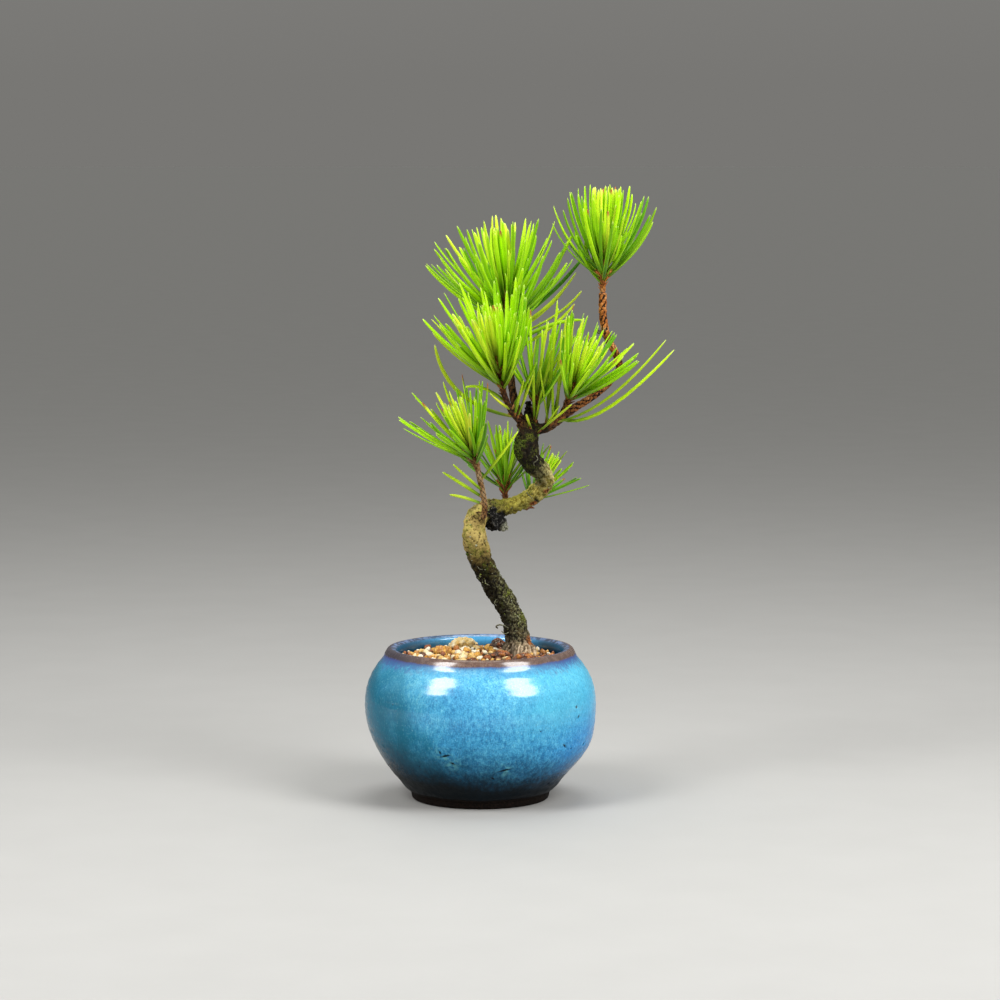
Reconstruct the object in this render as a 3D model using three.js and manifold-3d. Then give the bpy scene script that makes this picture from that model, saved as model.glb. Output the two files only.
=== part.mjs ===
// A small Japanese black pine bonsai in a round glazed pot: the pot with its foot ring and drain hole, the
// mesh over that hole, the soil, a dressing of grit with a few larger stones, the curved trunk with its
// branches, and eight sprays of needles. Millimetres, +Z up, -Y towards the front. Everything is laid out
// about the pot's axis, and the whole group is then moved so that the middle of the tree's footprint is at
// the origin.
import * as THREE from "three";
import { mergeVertices } from "three/addons/utils/BufferGeometryUtils.js";
import Module from "manifold-3d";

const wasm = await Module();
wasm.setup();

// The pot
const POT_HEIGHT = 60.2;
const BELLY_RADIUS = 46;
const BELLY_HEIGHT = 37.5;
const MOUTH_RADIUS = 32.6;
const LIP_RADIUS = 38.2;
const FOOT_RADIUS = 27.2;
const FOOT_HEIGHT = 3.4;
const RING_WIDTH = 4.6;
const RECESS = 2.4;
const WALL = 4.8;
const FLOOR_TOP = 7.6;
const FLOOR_RADIUS = 20;
const DRAIN_RADIUS = 5;
const POT_SIDES = 48;
const POT_STEP = 8;

// What fills the pot
const CLEARANCE = 0.3;
const WALL_CLEARANCE = 0.5;
const SOIL_AT_WALL = 52.6;
const SOIL_MOUND = 1.8;
const SOIL_SIDES = 24;
const BED_THICKNESS = 2;
const GRAINS = 72;
const GRAIN_SIZE = [1.9, 3];
const GRAIN_SHAPE = [1, 0.8, 0.7];
const MESH_SIZE = 18;
const MESH_HOLES = 3;
const MESH_BAR = 1.5;
const MESH_THICKNESS = 0.9;

// The tree
const ROOT_PLACE = new THREE.Vector2(15.5, 5);
const ROOT_HOLE = { topRadius: 8.8, bottomRadius: 4.4, top: 60.6, height: 28, sides: 16 };
const TRUNK_SIDES = 10;
const TWIG_SIDES = 6;
const ROOT_SIDES = 5;
const STEM_RADIUS = 1.25;
const SHOOT_RADIUS = 1.35;
const BUD_TIP_RADIUS = 0.5;
const SEAT_STRAIGHT = 1.2;

// The needles. Each three-sided one stands for a pair that grows from one sheath.
const NEEDLE_RADIUS = 0.78;
const NEEDLE_ROOT_RADIUS = 0.42;
const NEEDLE_WIDEST_AT = 0.6;
const NEEDLE_SIDES = 3;
const NEEDLE_STEPS = 2;
const LONE_NEEDLE_STEPS = 5;
const NEEDLE_APART = 0.45;
const INNER_SPLAY = 8;
const SPLAY_SPREAD = 1.3;
const SPLAY_JITTER = 5;
const LENGTH_JITTER = 0.08;
const TIP_SHORTENING = 0.34;
const ROOT_SHARE = 0.5;
const GOLDEN_ANGLE = Math.PI * (3 - Math.sqrt(5));
// What a needle tries next when it would touch something: [more turn about the shoot, more splay], in degrees
const SIDESTEPS = [
  [0, 0], [14, 0], [-14, 0], [0, -12], [28, -6], [-28, -6], [0, 14],
  [44, -14], [-44, -14], [70, -20], [-70, -20],
];

// Colours
const matt = (color, roughness) => new THREE.MeshStandardMaterial({ color, roughness, metalness: 0 });
const GLAZE = matt(0x4fa9cf, 0.18);
const PLASTIC = matt(0x2b2d2b, 0.6);
const EARTH = matt(0x4a3524, 0.95);
const GRIT = matt(0xc9ad78, 0.85);
const CREAM = matt(0xe2d3a6, 0.7);
const CLAY = matt(0x6e4a2a, 0.85);
const AMBER = matt(0xb9713a, 0.8);
const BARK = matt(0x6d6437, 0.9);
const GREEN = matt(0x7fc21e, 0.5);

const { lerp, clamp, degToRad } = THREE.MathUtils;
const vector = ([x, y, z]) => new THREE.Vector3(x, y, z);

// A repeatable draw between 0 and 1.
function drawsFrom(seed) {
  let state = seed;
  return () => {
    state = (state * 16807) % 2147483647;
    return state / 2147483647;
  };
}

// A closed three.js shape as a solid that can be joined and cut, with its faces pointing out.
function solidOf(geometry) {
  const bare = new THREE.BufferGeometry();
  bare.setAttribute("position", geometry.getAttribute("position"));
  bare.setIndex(geometry.index);
  const merged = mergeVertices(bare, 1e-4);
  const vertProperties = new Float32Array(merged.attributes.position.array);
  const triVerts = new Uint32Array(merged.index.array);
  const solid = new wasm.Manifold(new wasm.Mesh({ numProp: 3, vertProperties, triVerts }));
  if (solid.volume() > 0) return solid;
  return new wasm.Manifold(new wasm.Mesh({ numProp: 3, vertProperties, triVerts: triVerts.reverse() }));
}

const joined = (solids) => solids.reduce((whole, next) => whole.add(next));
const cutBy = (solid, cuts) => cuts.reduce((left, cut) => left.subtract(cut), solid);

// A solid as a named mesh.
function meshOf(name, solid, look) {
  const made = solid.getMesh();
  const geometry = new THREE.BufferGeometry();
  geometry.setAttribute("position", new THREE.BufferAttribute(made.vertProperties, made.numProp));
  geometry.setIndex(new THREE.BufferAttribute(made.triVerts, 1));
  geometry.computeVertexNormals();
  const mesh = new THREE.Mesh(geometry, look);
  mesh.name = name;
  return mesh;
}

// A closed profile of [radius, height] points turned about +Z.
function turned(profile, sides) {
  const points = profile.map(([radius, height]) => new THREE.Vector2(radius, height));
  return solidOf(new THREE.LatheGeometry(points, sides).rotateX(Math.PI / 2));
}

// A cylinder bent along a line of [x, y, z, radius] points. lump(turn, along) swells or pinches its wall.
function bentLimb(points, sides, steps, lump = () => 1) {
  const line = new THREE.CatmullRomCurve3(points.map(vector), false, "centripetal");
  const radii = points.map(([, , , radius], i) => new THREE.Vector2(i / (points.length - 1), radius));
  const girth = new THREE.SplineCurve(radii);
  const { normals, binormals } = line.computeFrenetFrames(steps, false);
  const limb = new THREE.CylinderGeometry(1, 1, 1, sides, steps);
  const at = limb.getAttribute("position");
  for (let i = 0; i < at.count; i++) {
    const step = Math.round((0.5 - at.getY(i)) * steps);
    const along = line.getUtoTmapping(step / steps);
    const radius = girth.getPoint(along).y * lump(Math.atan2(at.getZ(i), at.getX(i)), step / steps);
    const place = line.getPoint(along);
    place.addScaledVector(normals[step], at.getX(i) * radius);
    place.addScaledVector(binormals[step], at.getZ(i) * radius);
    at.setXYZ(i, ...place);
  }
  return solidOf(limb);
}

// The pot's wall in section: foot ring, round belly, rounded lip, inner wall and floor with the drain hole.
function potSection() {
  const ringInside = FOOT_RADIUS - RING_WIDTH;
  const inside = BELLY_RADIUS - WALL;
  const section = new THREE.Path();
  section.moveTo(DRAIN_RADIUS, RECESS);
  section.lineTo(ringInside - RECESS / 2, RECESS);
  section.lineTo(ringInside, 0);
  section.lineTo(FOOT_RADIUS, 0);
  section.lineTo(FOOT_RADIUS + 0.4, FOOT_HEIGHT - 0.4);
  section.lineTo(FOOT_RADIUS + 1.2, FOOT_HEIGHT);
  section.bezierCurveTo(37.5, 12.8, BELLY_RADIUS, 25, BELLY_RADIUS, BELLY_HEIGHT);
  section.bezierCurveTo(BELLY_RADIUS, 47, 41.7, 52.4, LIP_RADIUS, 56.4);
  section.bezierCurveTo(37.4, 58.6, 36.8, POT_HEIGHT, 35.4, POT_HEIGHT);
  section.bezierCurveTo(33.8, POT_HEIGHT, MOUTH_RADIUS, 59.4, MOUTH_RADIUS, 57.6);
  section.bezierCurveTo(MOUTH_RADIUS, 53, inside, 49, inside, BELLY_HEIGHT);
  section.bezierCurveTo(inside, 22, 33, FLOOR_TOP, FLOOR_RADIUS, FLOOR_TOP);
  section.lineTo(DRAIN_RADIUS, FLOOR_TOP);
  return section;
}

// The section as [radius, height] points, about POT_STEP apart on its curves.
const potOutline = potSection().curves.flatMap((curve, i) => {
  const steps = curve.isLineCurve ? 1 : Math.ceil(curve.getLength() / POT_STEP);
  return curve.getPoints(steps).slice(i ? 1 : 0).map((point) => point.toArray());
});
const pot = () => turned([...potOutline, potOutline[0]], POT_SIDES);

// The inner wall's radius at a height, read off the same section from the mouth down.
const innerWall = potOutline.slice(potOutline.findIndex(([radius]) => radius === MOUTH_RADIUS), -1);
function innerRadius(height) {
  const below = innerWall.findIndex((point) => point[1] <= height);
  const [[lowRadius, low], [highRadius, high]] = [innerWall[below], innerWall[Math.max(below - 1, 0)]];
  return high > low ? lerp(lowRadius, highRadius, (height - low) / (high - low)) : lowRadius;
}

// The drain mesh: a square plastic mesh that lies over the hole on the pot's floor.
function drainMesh() {
  const middle = FLOOR_TOP + MESH_THICKNESS / 2;
  const pitch = (MESH_SIZE - MESH_BAR) / MESH_HOLES;
  const plate = new THREE.BoxGeometry(MESH_SIZE, MESH_SIZE, MESH_THICKNESS).translate(0, 0, middle);
  const holes = [];
  for (let i = 0; i < MESH_HOLES ** 2; i++) {
    const column = (i % MESH_HOLES) - (MESH_HOLES - 1) / 2;
    const row = Math.floor(i / MESH_HOLES) - (MESH_HOLES - 1) / 2;
    const hole = new THREE.BoxGeometry(pitch - MESH_BAR, pitch - MESH_BAR, MESH_THICKNESS * 2);
    holes.push(solidOf(hole.translate(column * pitch, row * pitch, middle)));
  }
  return cutBy(solidOf(plate), holes);
}

// The soil's surface is low at the wall and mounded in the middle. groundLine gives it as a profile,
// raised by above.
const soilRim = innerRadius(SOIL_AT_WALL) - WALL_CLEARANCE;
const soilHeight = (radius) => SOIL_AT_WALL + SOIL_MOUND * (1 - (radius / soilRim) ** 2);
const groundLine = (rim, above) => [0, 0.5, 1].map((share) => [rim * share, soilHeight(rim * share) + above]);

// Where the trunk goes into the ground: a plain tapered hole with room for its roots.
function rootHole() {
  const { topRadius, bottomRadius, top, height, sides } = ROOT_HOLE;
  const cone = new THREE.CylinderGeometry(topRadius, bottomRadius, height, sides).rotateX(Math.PI / 2);
  return solidOf(cone.translate(ROOT_PLACE.x, ROOT_PLACE.y, top - height / 2));
}

function soil() {
  const bottom = FLOOR_TOP + MESH_THICKNESS + CLEARANCE;
  const heights = [0, 0.09, 0.3, 0.58].map((share) => lerp(bottom, SOIL_AT_WALL, share));
  const wall = heights.map((height) => [innerRadius(height) - WALL_CLEARANCE, height]);
  const body = turned([[0, bottom], ...wall, ...groundLine(soilRim, 0).reverse()], SOIL_SIDES);
  return body.subtract(rootHole());
}

// The larger stones that lie on the grit. size is half of each, turn is about +Z.
const STONES = [
  { name: "cream", look: CREAM, place: [-7.5, 23, 57.6], size: [5.2, 4.2, 3.1], turn: 0.3, seed: 31 },
  { name: "brown", look: CLAY, place: [6.6, 20.5, 57.9], size: [3.3, 3.1, 2.8], turn: 1.1, seed: 32 },
  { name: "amber_left", look: AMBER, place: [8, -4.6, 57.9], size: [3.6, 2.4, 1.6], turn: 0.2, seed: 33 },
  { name: "amber_right", look: AMBER, place: [17.2, -7.4, 57.3], size: [3.9, 2.6, 1.5], turn: -0.3, seed: 34 },
  { name: "ochre", look: CREAM, place: [-15.5, 8, 57.2], size: [4.1, 3.2, 2.3], turn: 0.9, seed: 35 },
];

// A stone, with a margin added all round when the shape is wanted to cut the stone's seat.
function stoneSolid({ place, size, turn, seed }, margin = 0) {
  const draw = drawsFrom(seed);
  const stone = new THREE.IcosahedronGeometry(1, 1);
  const bare = new THREE.BufferGeometry().setAttribute("position", stone.getAttribute("position"));
  const merged = mergeVertices(bare);
  const at = merged.getAttribute("position");
  for (let i = 0; i < at.count; i++) {
    const swell = lerp(0.88, 1.1, draw());
    at.setXYZ(i, at.getX(i) * swell, at.getY(i) * swell, at.getZ(i) * swell);
  }
  merged.scale(...size.map((half) => half + margin));
  return solidOf(merged.rotateZ(turn).translate(...place));
}

// One angular grain of the grit, tumbled by the draw.
function grainSolid(size, place, draw) {
  const grain = new THREE.OctahedronGeometry(size).scale(...GRAIN_SHAPE);
  grain.rotateX(draw() * Math.PI).rotateY(draw() * Math.PI).rotateZ(draw() * Math.PI);
  return solidOf(grain.translate(...place));
}

// The grit: a thin bed over the soil with grains standing out of it, spread as seeds are on a sunflower.
// Whatever lies under the bed is cut away, and so are the trunk's hole and the seats of the stones.
function grit() {
  const draw = drawsFrom(71);
  const rim = innerRadius(SOIL_AT_WALL + BED_THICKNESS) - WALL_CLEARANCE;
  const under = groundLine(rim, CLEARANCE);
  const solids = [turned([...under, ...groundLine(rim, BED_THICKNESS).reverse()], SOIL_SIDES)];
  for (let i = 0; i < GRAINS; i++) {
    const size = lerp(...GRAIN_SIZE, draw() ** 1.5);
    const radius = (MOUTH_RADIUS - size - CLEARANCE) * Math.sqrt((i + 0.5) / GRAINS);
    const angle = i * GOLDEN_ANGLE;
    const height = soilHeight(radius) + BED_THICKNESS + size / 10;
    solids.push(grainSolid(size, [radius * Math.cos(angle), radius * Math.sin(angle), height], draw));
  }
  const deep = SOIL_AT_WALL - 2 * GRAIN_SIZE[1];
  const ground = turned([[0, deep], [rim, deep], ...under.reverse()], SOIL_SIDES);
  const seats = STONES.map((stone) => stoneSolid(stone, CLEARANCE * 1.2));
  return biggestOf(cutBy(joined(solids), [ground, rootHole(), ...seats]));
}

// The cuts can leave a chip of grain loose beside a stone: only the bed itself is kept.
const biggestOf = (solid) => solid.decompose().sort((a, b) => b.volume() - a.volume())[0];

// The wood, each limb a list of [x, y, z, radius]. The trunk runs from its root stock up to the crown of
// branches.
const TRUNK = [
  [15.5, 5, 36, 2.9], [15.5, 5, 47, 4.4], [15.5, 5, 55, 6.4], [15.2, 5.4, 60, 5.3], [14.5, 6, 64.5, 4.9],
  [12.5, 7, 72, 4.5], [8, 7, 80, 4.4], [4, 5, 87, 4.3], [0.5, 2, 94, 4.6], [-1.6, -1, 101, 4.9],
  [-2.5, -2, 107.5, 4.5], [-0.8, 1, 112.8, 4.1], [4, 5.6, 114.4, 4], [10, 8.2, 115, 3.3], [15.6, 8, 117, 3.1],
  [21.4, 6, 120.4, 3.5], [25.4, 3, 125, 3.5], [24.4, 0, 129.6, 3.6], [20.5, -3, 134.2, 4.3],
  [18, -4, 139.5, 4.7], [19, -2.4, 144.5, 4.2], [21, -0.4, 148, 2.6],
];
const TOP_TWIG = [
  [21, -0.4, 146.6, 2.4], [26, 0.4, 147.4, 2], [31, 1.8, 150.5, 1.8], [37.5, 4.5, 155, 1.6],
  [44, 7.2, 158.8, 1.5], [50.5, 9, 164.2, 1.5], [55, 9.2, 170, 1.45], [53.6, 8.8, 176, 1.45],
  [50.2, 8, 182.5, 1.5], [48.5, 7.2, 190.5, 1.6], [48.3, 6.6, 200, 1.6],
];
const UPPER_LEFT_BRANCH = [
  [18.8, -0.6, 146, 2.3], [15.2, 2.2, 151.6, 1.8], [13, 5, 160, 1.6], [11.8, 7.5, 169, 1.5],
];
const FRONT_LEFT_COLLAR = [[19, -2.6, 145, 2.2], [15.6, -3.6, 149.8, 1.9]];
const RIGHT_COLLAR = [[24.8, 0, 147.2, 1.7], [27.4, -2.6, 148.6, 1.5]];
const CROWN_COLLAR = [[21, -0.4, 146, 2], [21.4, 0.4, 150.6, 1.5]];
const LOW_LEFT_COLLAR = [[-1.8, -1, 108.6, 2], [1, -6.2, 112.6, 1.4]];
const BACK_COLLAR = [[9.6, 8, 115, 1.8], [9.9, 12.4, 116.6, 1.4]];
const BACK_RIGHT_COLLAR = [[16, 7.6, 116.6, 1.8], [17.8, 12, 114.8, 1.4]];
const DEAD_BURL = [
  [1.6, 4.6, 112.6, 3.4], [4.6, 4.4, 110.6, 3.9], [8, 3.8, 108.8, 2.8], [9.8, 3.4, 106.6, 1.3],
];
const DEAD_STUB = [[20, 0.6, 147, 1.9], [18.9, 3, 153, 1.5], [19.2, 3.8, 157.4, 1.1]];
const DEAD_SPUR = [[50.4, 8, 182, 1.1], [47.6, 8.4, 184.4, 0.8], [45.2, 8.6, 184.8, 0.6]];
const TWIGS = [
  TOP_TWIG, UPPER_LEFT_BRANCH, FRONT_LEFT_COLLAR, RIGHT_COLLAR, CROWN_COLLAR, LOW_LEFT_COLLAR, BACK_COLLAR,
  BACK_RIGHT_COLLAR, DEAD_BURL, DEAD_STUB, DEAD_SPUR,
];
// Surface roots: the way each one runs out from the trunk, in radians, and how far
const SURFACE_ROOTS = [[-2.7, 6], [-1.7, 6.4], [-0.5, 5.8], [0.6, 6.2], [1.9, 6], [3, 6.2]];

// Bark lumps: shallow swellings that wind round the trunk.
const barkLump = (turn, along) => 1
  + 0.05 * Math.sin(3 * turn + 31 * along)
  + 0.04 * Math.sin(2 * turn - 57 * along + 1.3)
  + 0.03 * Math.sin(4 * turn + 90 * along);

// A surface root runs out of the trunk's foot and dips into the ground.
function surfaceRoot([turn, reach]) {
  const out = (far) => [ROOT_PLACE.x + Math.cos(turn) * far, ROOT_PLACE.y + Math.sin(turn) * far];
  return bentLimb([[...out(0), 61, 2.2], [...out(4.4), 58.4, 1.9], [...out(reach), 54, 1.4]], ROOT_SIDES, 3);
}

function wood() {
  const trunk = bentLimb(TRUNK, TRUNK_SIDES, 2 * TRUNK.length, barkLump);
  const twigs = TWIGS.map((twig) => bentLimb(twig, TWIG_SIDES, 2 * twig.length - 2));
  return joined([trunk, ...twigs, ...SURFACE_ROOTS.map(surfaceRoot)]);
}

// The sprays. Each stem grows on from the end of a branch or collar up to its lowest needles. lean is the
// way the shoot points, shoot and bud are lengths along it, splay is the angle of the lowest needles, and
// bow is how far a needle bows outwards for its length. lone lists old needles that stand by themselves:
// where each one grows, its tip, and how far it bows.
const SPRAYS = [
  {
    name: "spray_front_left", seed: 11, from: FRONT_LEFT_COLLAR,
    stem: [[12.6, -5, 153.6], [10.4, -6.8, 158.4], [9, -8.2, 162.6]],
    lean: [-0.14, -0.5, 0.85], shoot: 14, bud: 6, needles: 60, splay: 50, length: 41, bow: 0.06,
    lone: [
      [[13.6, -4.6, 152.2], [-18.6, -12, 182], [-6, 2, -9]],
      [[12, -5.6, 155], [4, -12, 161.5], [0, 0, -1]],
      [[10.8, -6.4, 157.6], [-7.2, -14, 165], [0, 0, 2.4]],
    ],
  },
  {
    name: "spray_right", seed: 23, from: RIGHT_COLLAR,
    stem: [[31, -3.6, 151.6], [34.2, -5, 157.6]],
    lean: [0.34, -0.45, 0.83], shoot: 8, bud: 6, needles: 46, splay: 54, length: 36, bow: 0.06,
    lone: [
      [[29.6, -3.4, 149.8], [71.6, -12, 182.6], [5, -2.5, -7]],
      [[31, -3.8, 151.4], [75.2, -6, 178.8], [5, -2, -8]],
    ],
  },
  {
    name: "spray_low_left", seed: 37, from: LOW_LEFT_COLLAR,
    stem: [[1.8, -8, 117.6], [1.2, -8.8, 122], [-0.2, -10, 128.4], [-1.2, -11, 133]],
    lean: [-0.32, -0.42, 0.85], shoot: 9, bud: 5, needles: 40, splay: 56, length: 35, bow: 0.03,
    lone: [
      [[1.4, -8.6, 120.4], [-12.8, -13, 121.6], [0, 0, 0.8]],
      [[1, -9, 123], [-14.8, -12, 130.4], [0, 0, 0.6]],
      [[0.4, -9.4, 126], [-10.2, -16, 133.2], [0, 0, 0]],
      [[0, -9.8, 128], [14, -13, 147.6], [0, 0, 0]],
    ],
  },
  {
    name: "spray_top", seed: 41, from: TOP_TWIG, stem: [[48.3, 6.4, 203]],
    lean: [0.03, -0.06, 1], shoot: 16, bud: 8, needles: 60, splay: 36, length: 34.4, bow: 0.11, lone: [],
  },
  {
    name: "spray_upper_left", seed: 53, from: UPPER_LEFT_BRANCH, stem: [[11, 9, 178], [10.4, 10.2, 184.6]],
    lean: [-0.06, 0.04, 1], shoot: 16, bud: 7, needles: 66, splay: 55, length: 42, bow: 0.07,
    lone: [
      [[11, 8.8, 178.4], [42.4, 2, 190.4], [0, 0, 2.6]],
      [[10.8, 9, 181.6], [42, 6, 202], [2, 0, -1.6]],
      [[10.6, 9.4, 184.4], [39, 14, 208.6], [1, 0, -2]],
      [[11.2, 8.6, 176.4], [37.6, 10, 196], [1.6, 0, -1]],
      [[10.6, 9.2, 183], [33.4, 20, 200.6], [1, 1, -1]],
    ],
  },
  {
    name: "spray_crown", seed: 67, from: CROWN_COLLAR, stem: [[21.6, 1, 154]],
    lean: [0.06, 0, 1], shoot: 9, bud: 0, needles: 24, splay: 46, length: 37, bow: 0.03, lone: [],
  },
  {
    name: "spray_back", seed: 79, from: BACK_COLLAR, stem: [[9.8, 14.8, 119]],
    lean: [-0.06, 0.3, 0.95], shoot: 9, bud: 4, needles: 26, splay: 50, length: 29, bow: 0.02, lone: [],
  },
  {
    name: "spray_back_right", seed: 83, from: BACK_RIGHT_COLLAR, stem: [[19.2, 15, 115]],
    lean: [0.46, 0.3, 0.84], shoot: 8, bud: 3, needles: 20, splay: 48, length: 25, bow: 0.02, lone: [],
  },
];

// A spray's stem, shoot and bud as points, from just clear of the wood that it grows on from. across and
// over are square to the shoot.
function coreOf({ from, stem, lean, shoot, bud }) {
  const [before, end] = from.slice(-2).map(vector);
  const onward = end.clone().sub(before).normalize();
  const foot = vector(stem.at(-1));
  const axis = vector(lean).normalize();
  const across = new THREE.Vector3(0, 1, 0).cross(axis).normalize();
  const over = axis.clone().cross(across);
  const up = (length) => foot.clone().addScaledVector(axis, length);
  const seat = [CLEARANCE, SEAT_STRAIGHT].map((length) => end.clone().addScaledVector(onward, length));
  const tip = bud ? [up(shoot + bud)] : [];
  const line = { stem: [...seat, ...stem.map(vector)], shoot: [up(shoot / 2), up(shoot)], tip };
  return { ...line, up, axis, across, over };
}

// The core as a solid: even along the stem, a little thicker where the needles grow, and thin at the bud's
// tip.
function coreSolid(core) {
  const points = core.stem.map((point) => [...point, STEM_RADIUS]);
  points.push(...core.shoot.map((point) => [...point, SHOOT_RADIUS]));
  points.push(...core.tip.map((point) => [...point, BUD_TIP_RADIUS]));
  return bentLimb(points, TWIG_SIDES, points.length + 1);
}

// A needle as root, middle and tip. share is how far up the shoot it grows.
function needleLine(core, spray, share, turn, splay, length) {
  const side = core.across.clone().multiplyScalar(Math.cos(turn)).addScaledVector(core.over, Math.sin(turn));
  const [forward, sideways] = [Math.cos(splay), Math.sin(splay)];
  const root = core.up(share * spray.shoot);
  const tip = root.clone().addScaledVector(core.axis, forward * length);
  tip.addScaledVector(side, sideways * length);
  const middle = root.clone().lerp(tip, 0.5);
  middle.addScaledVector(side, forward * spray.bow * length);
  middle.addScaledVector(core.axis, -sideways * spray.bow * length);
  return [root, middle, tip];
}

// A line of points as straight pieces of one thickness, and the least distance between two of them.
function straights(line, radius, owner) {
  return line.slice(1).map((to, i) => ({ from: line[i], to, radius, owner }));
}
function distanceBetween(one, other) {
  const [d1, d2] = [one.to.clone().sub(one.from), other.to.clone().sub(other.from)];
  const between = one.from.clone().sub(other.from);
  const [a, b, c, e, f] = [d1.dot(d1), d1.dot(d2), d1.dot(between), d2.dot(d2), d2.dot(between)];
  const skew = a * e - b * b;
  const first = skew > 1e-9 ? clamp((b * f - c * e) / skew, 0, 1) : 0;
  const t = clamp((b * first + f) / e, 0, 1);
  const s = clamp((b * t - c) / a, 0, 1);
  return between.addScaledVector(d1, s).addScaledVector(d2, -t).length();
}
const farEnough = (one, other) => distanceBetween(one, other) > one.radius + other.radius + NEEDLE_APART;

// What is already in place: the wood, every spray's core, and the needles of each spray once it is made.
function woodPieces(limb) {
  return limb.slice(1).map((end, i) => {
    const radius = 1.12 * Math.max(limb[i][3], end[3]);
    return { from: vector(limb[i]), to: vector(end), radius, owner: "trunk" };
  });
}
function corePieces(spray) {
  const core = coreOf(spray);
  return straights([...core.stem, ...core.shoot, ...core.tip], SHOOT_RADIUS, spray.name);
}
const inPlace = [...[TRUNK, ...TWIGS].flatMap(woodPieces), ...SPRAYS.flatMap(corePieces)];

// A needle has to clear the other pieces all along, and its own spray's needles once past their roots.
function pastRoot([root, middle, tip]) {
  return straights([root.clone().lerp(middle, ROOT_SHARE), middle, tip], NEEDLE_RADIUS);
}
function isClear(line, others, own) {
  return straights(line, NEEDLE_RADIUS).every((piece) => others.every((other) => farEnough(piece, other)))
    && pastRoot(line).every((piece) => own.every((other) => farEnough(piece, other)));
}

// The lines of a spray's needles: they wind up the shoot by the golden angle, the lowest ones widest, and
// step aside from what is in place. One that finds no room is left out.
function needleLines(spray) {
  const draw = drawsFrom(spray.seed);
  const core = coreOf(spray);
  const others = inPlace.filter((piece) => piece.owner !== spray.name);
  const lines = spray.lone.map(([from, to, bow]) => {
    const [root, tip] = [vector(from), vector(to)];
    return [root, root.clone().lerp(tip, 0.5).add(vector(bow)), tip];
  });
  const own = lines.flatMap(pastRoot);
  for (let i = 0; i < spray.needles; i++) {
    const share = (i + 0.5) / spray.needles;
    const jitter = [draw(), draw()].map((drawn) => lerp(-1, 1, drawn));
    const splay = lerp(spray.splay, INNER_SPLAY, share ** SPLAY_SPREAD) + jitter[0] * SPLAY_JITTER;
    const length = spray.length * (1 - TIP_SHORTENING * share ** 2) * (1 + jitter[1] * LENGTH_JITTER);
    const tries = SIDESTEPS.map(([moreTurn, moreSplay]) => {
      const turn = i * GOLDEN_ANGLE + degToRad(moreTurn);
      return needleLine(core, spray, share, turn, degToRad(Math.max(splay + moreSplay, 2)), length);
    });
    const line = tries.find((candidate) => isClear(candidate, others, own));
    if (!line) continue;
    lines.push(line);
    own.push(...pastRoot(line));
  }
  inPlace.push(...lines.flatMap((line) => straights(line, NEEDLE_RADIUS, spray.name)));
  return lines;
}

// A needle's radius along it: slim at the root, widest past the middle, round down to its point.
function needleRadius(along) {
  if (along < NEEDLE_WIDEST_AT) return lerp(NEEDLE_ROOT_RADIUS, NEEDLE_RADIUS, along / NEEDLE_WIDEST_AT);
  return NEEDLE_RADIUS * Math.sqrt(1 - ((along - NEEDLE_WIDEST_AT) / (1 - NEEDLE_WIDEST_AT)) ** 2);
}

// A needle's solid: a three-sided cone bent along a bowed line. Its rings lie so that the middle one is
// the widest.
function needleSolid([root, middle, tip], steps) {
  const pull = middle.clone().multiplyScalar(2).sub(root.clone().lerp(tip, 0.5));
  const line = new THREE.QuadraticBezierCurve3(root, pull, tip);
  const { normals, binormals } = line.computeFrenetFrames(1, false);
  const needle = new THREE.ConeGeometry(1, 1, NEEDLE_SIDES, steps);
  const at = needle.getAttribute("position");
  for (let i = 0; i < at.count; i++) {
    const share = Math.min(at.getY(i) + 0.5, 1);
    const along = share ** (Math.log(NEEDLE_WIDEST_AT) / Math.log(0.5));
    const width = share < 1 ? needleRadius(along) / (1 - share) : 0;
    const place = line.getPoint(along);
    place.addScaledVector(normals[0], at.getX(i) * width);
    place.addScaledVector(binormals[0], at.getZ(i) * width);
    at.setXYZ(i, ...place);
  }
  return solidOf(needle);
}

function spraySolid(spray) {
  const steps = (i) => (i < spray.lone.length ? LONE_NEEDLE_STEPS : NEEDLE_STEPS);
  const needles = needleLines(spray).map((line, i) => needleSolid(line, steps(i)));
  return joined([coreSolid(coreOf(spray)), ...needles]);
}

// The whole tree in its pot, each piece a named mesh
const bonsai = new THREE.Group();
bonsai.add(meshOf("pot", pot(), GLAZE));
bonsai.add(meshOf("drain_mesh", drainMesh(), PLASTIC));
bonsai.add(meshOf("soil", soil(), EARTH));
bonsai.add(meshOf("grit", grit(), GRIT));
for (const stone of STONES) bonsai.add(meshOf(`stone_${stone.name}`, stoneSolid(stone), stone.look));
bonsai.add(meshOf("trunk", wood(), BARK));
for (const spray of SPRAYS) bonsai.add(meshOf(spray.name, spraySolid(spray), GREEN));

const footprint = new THREE.Box3().setFromObject(bonsai).getCenter(new THREE.Vector3());
bonsai.position.set(-footprint.x, -footprint.y, 0);

export default bonsai;
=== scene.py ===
# A small Japanese black pine bonsai in a round glazed pot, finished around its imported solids: the pot and
# its glaze, the grit with its stones, the barked wood, the scaly shoots and the needles in their pairs.
# Shapes are worked out in millimetres about the pot's axis, and each finished mesh is moved to the part's frame.
import math
from collections import namedtuple

import bmesh
import bpy
import numpy as np
from mathutils import Matrix, Vector, kdtree, noise
from mathutils.geometry import interpolate_bezier


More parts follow.
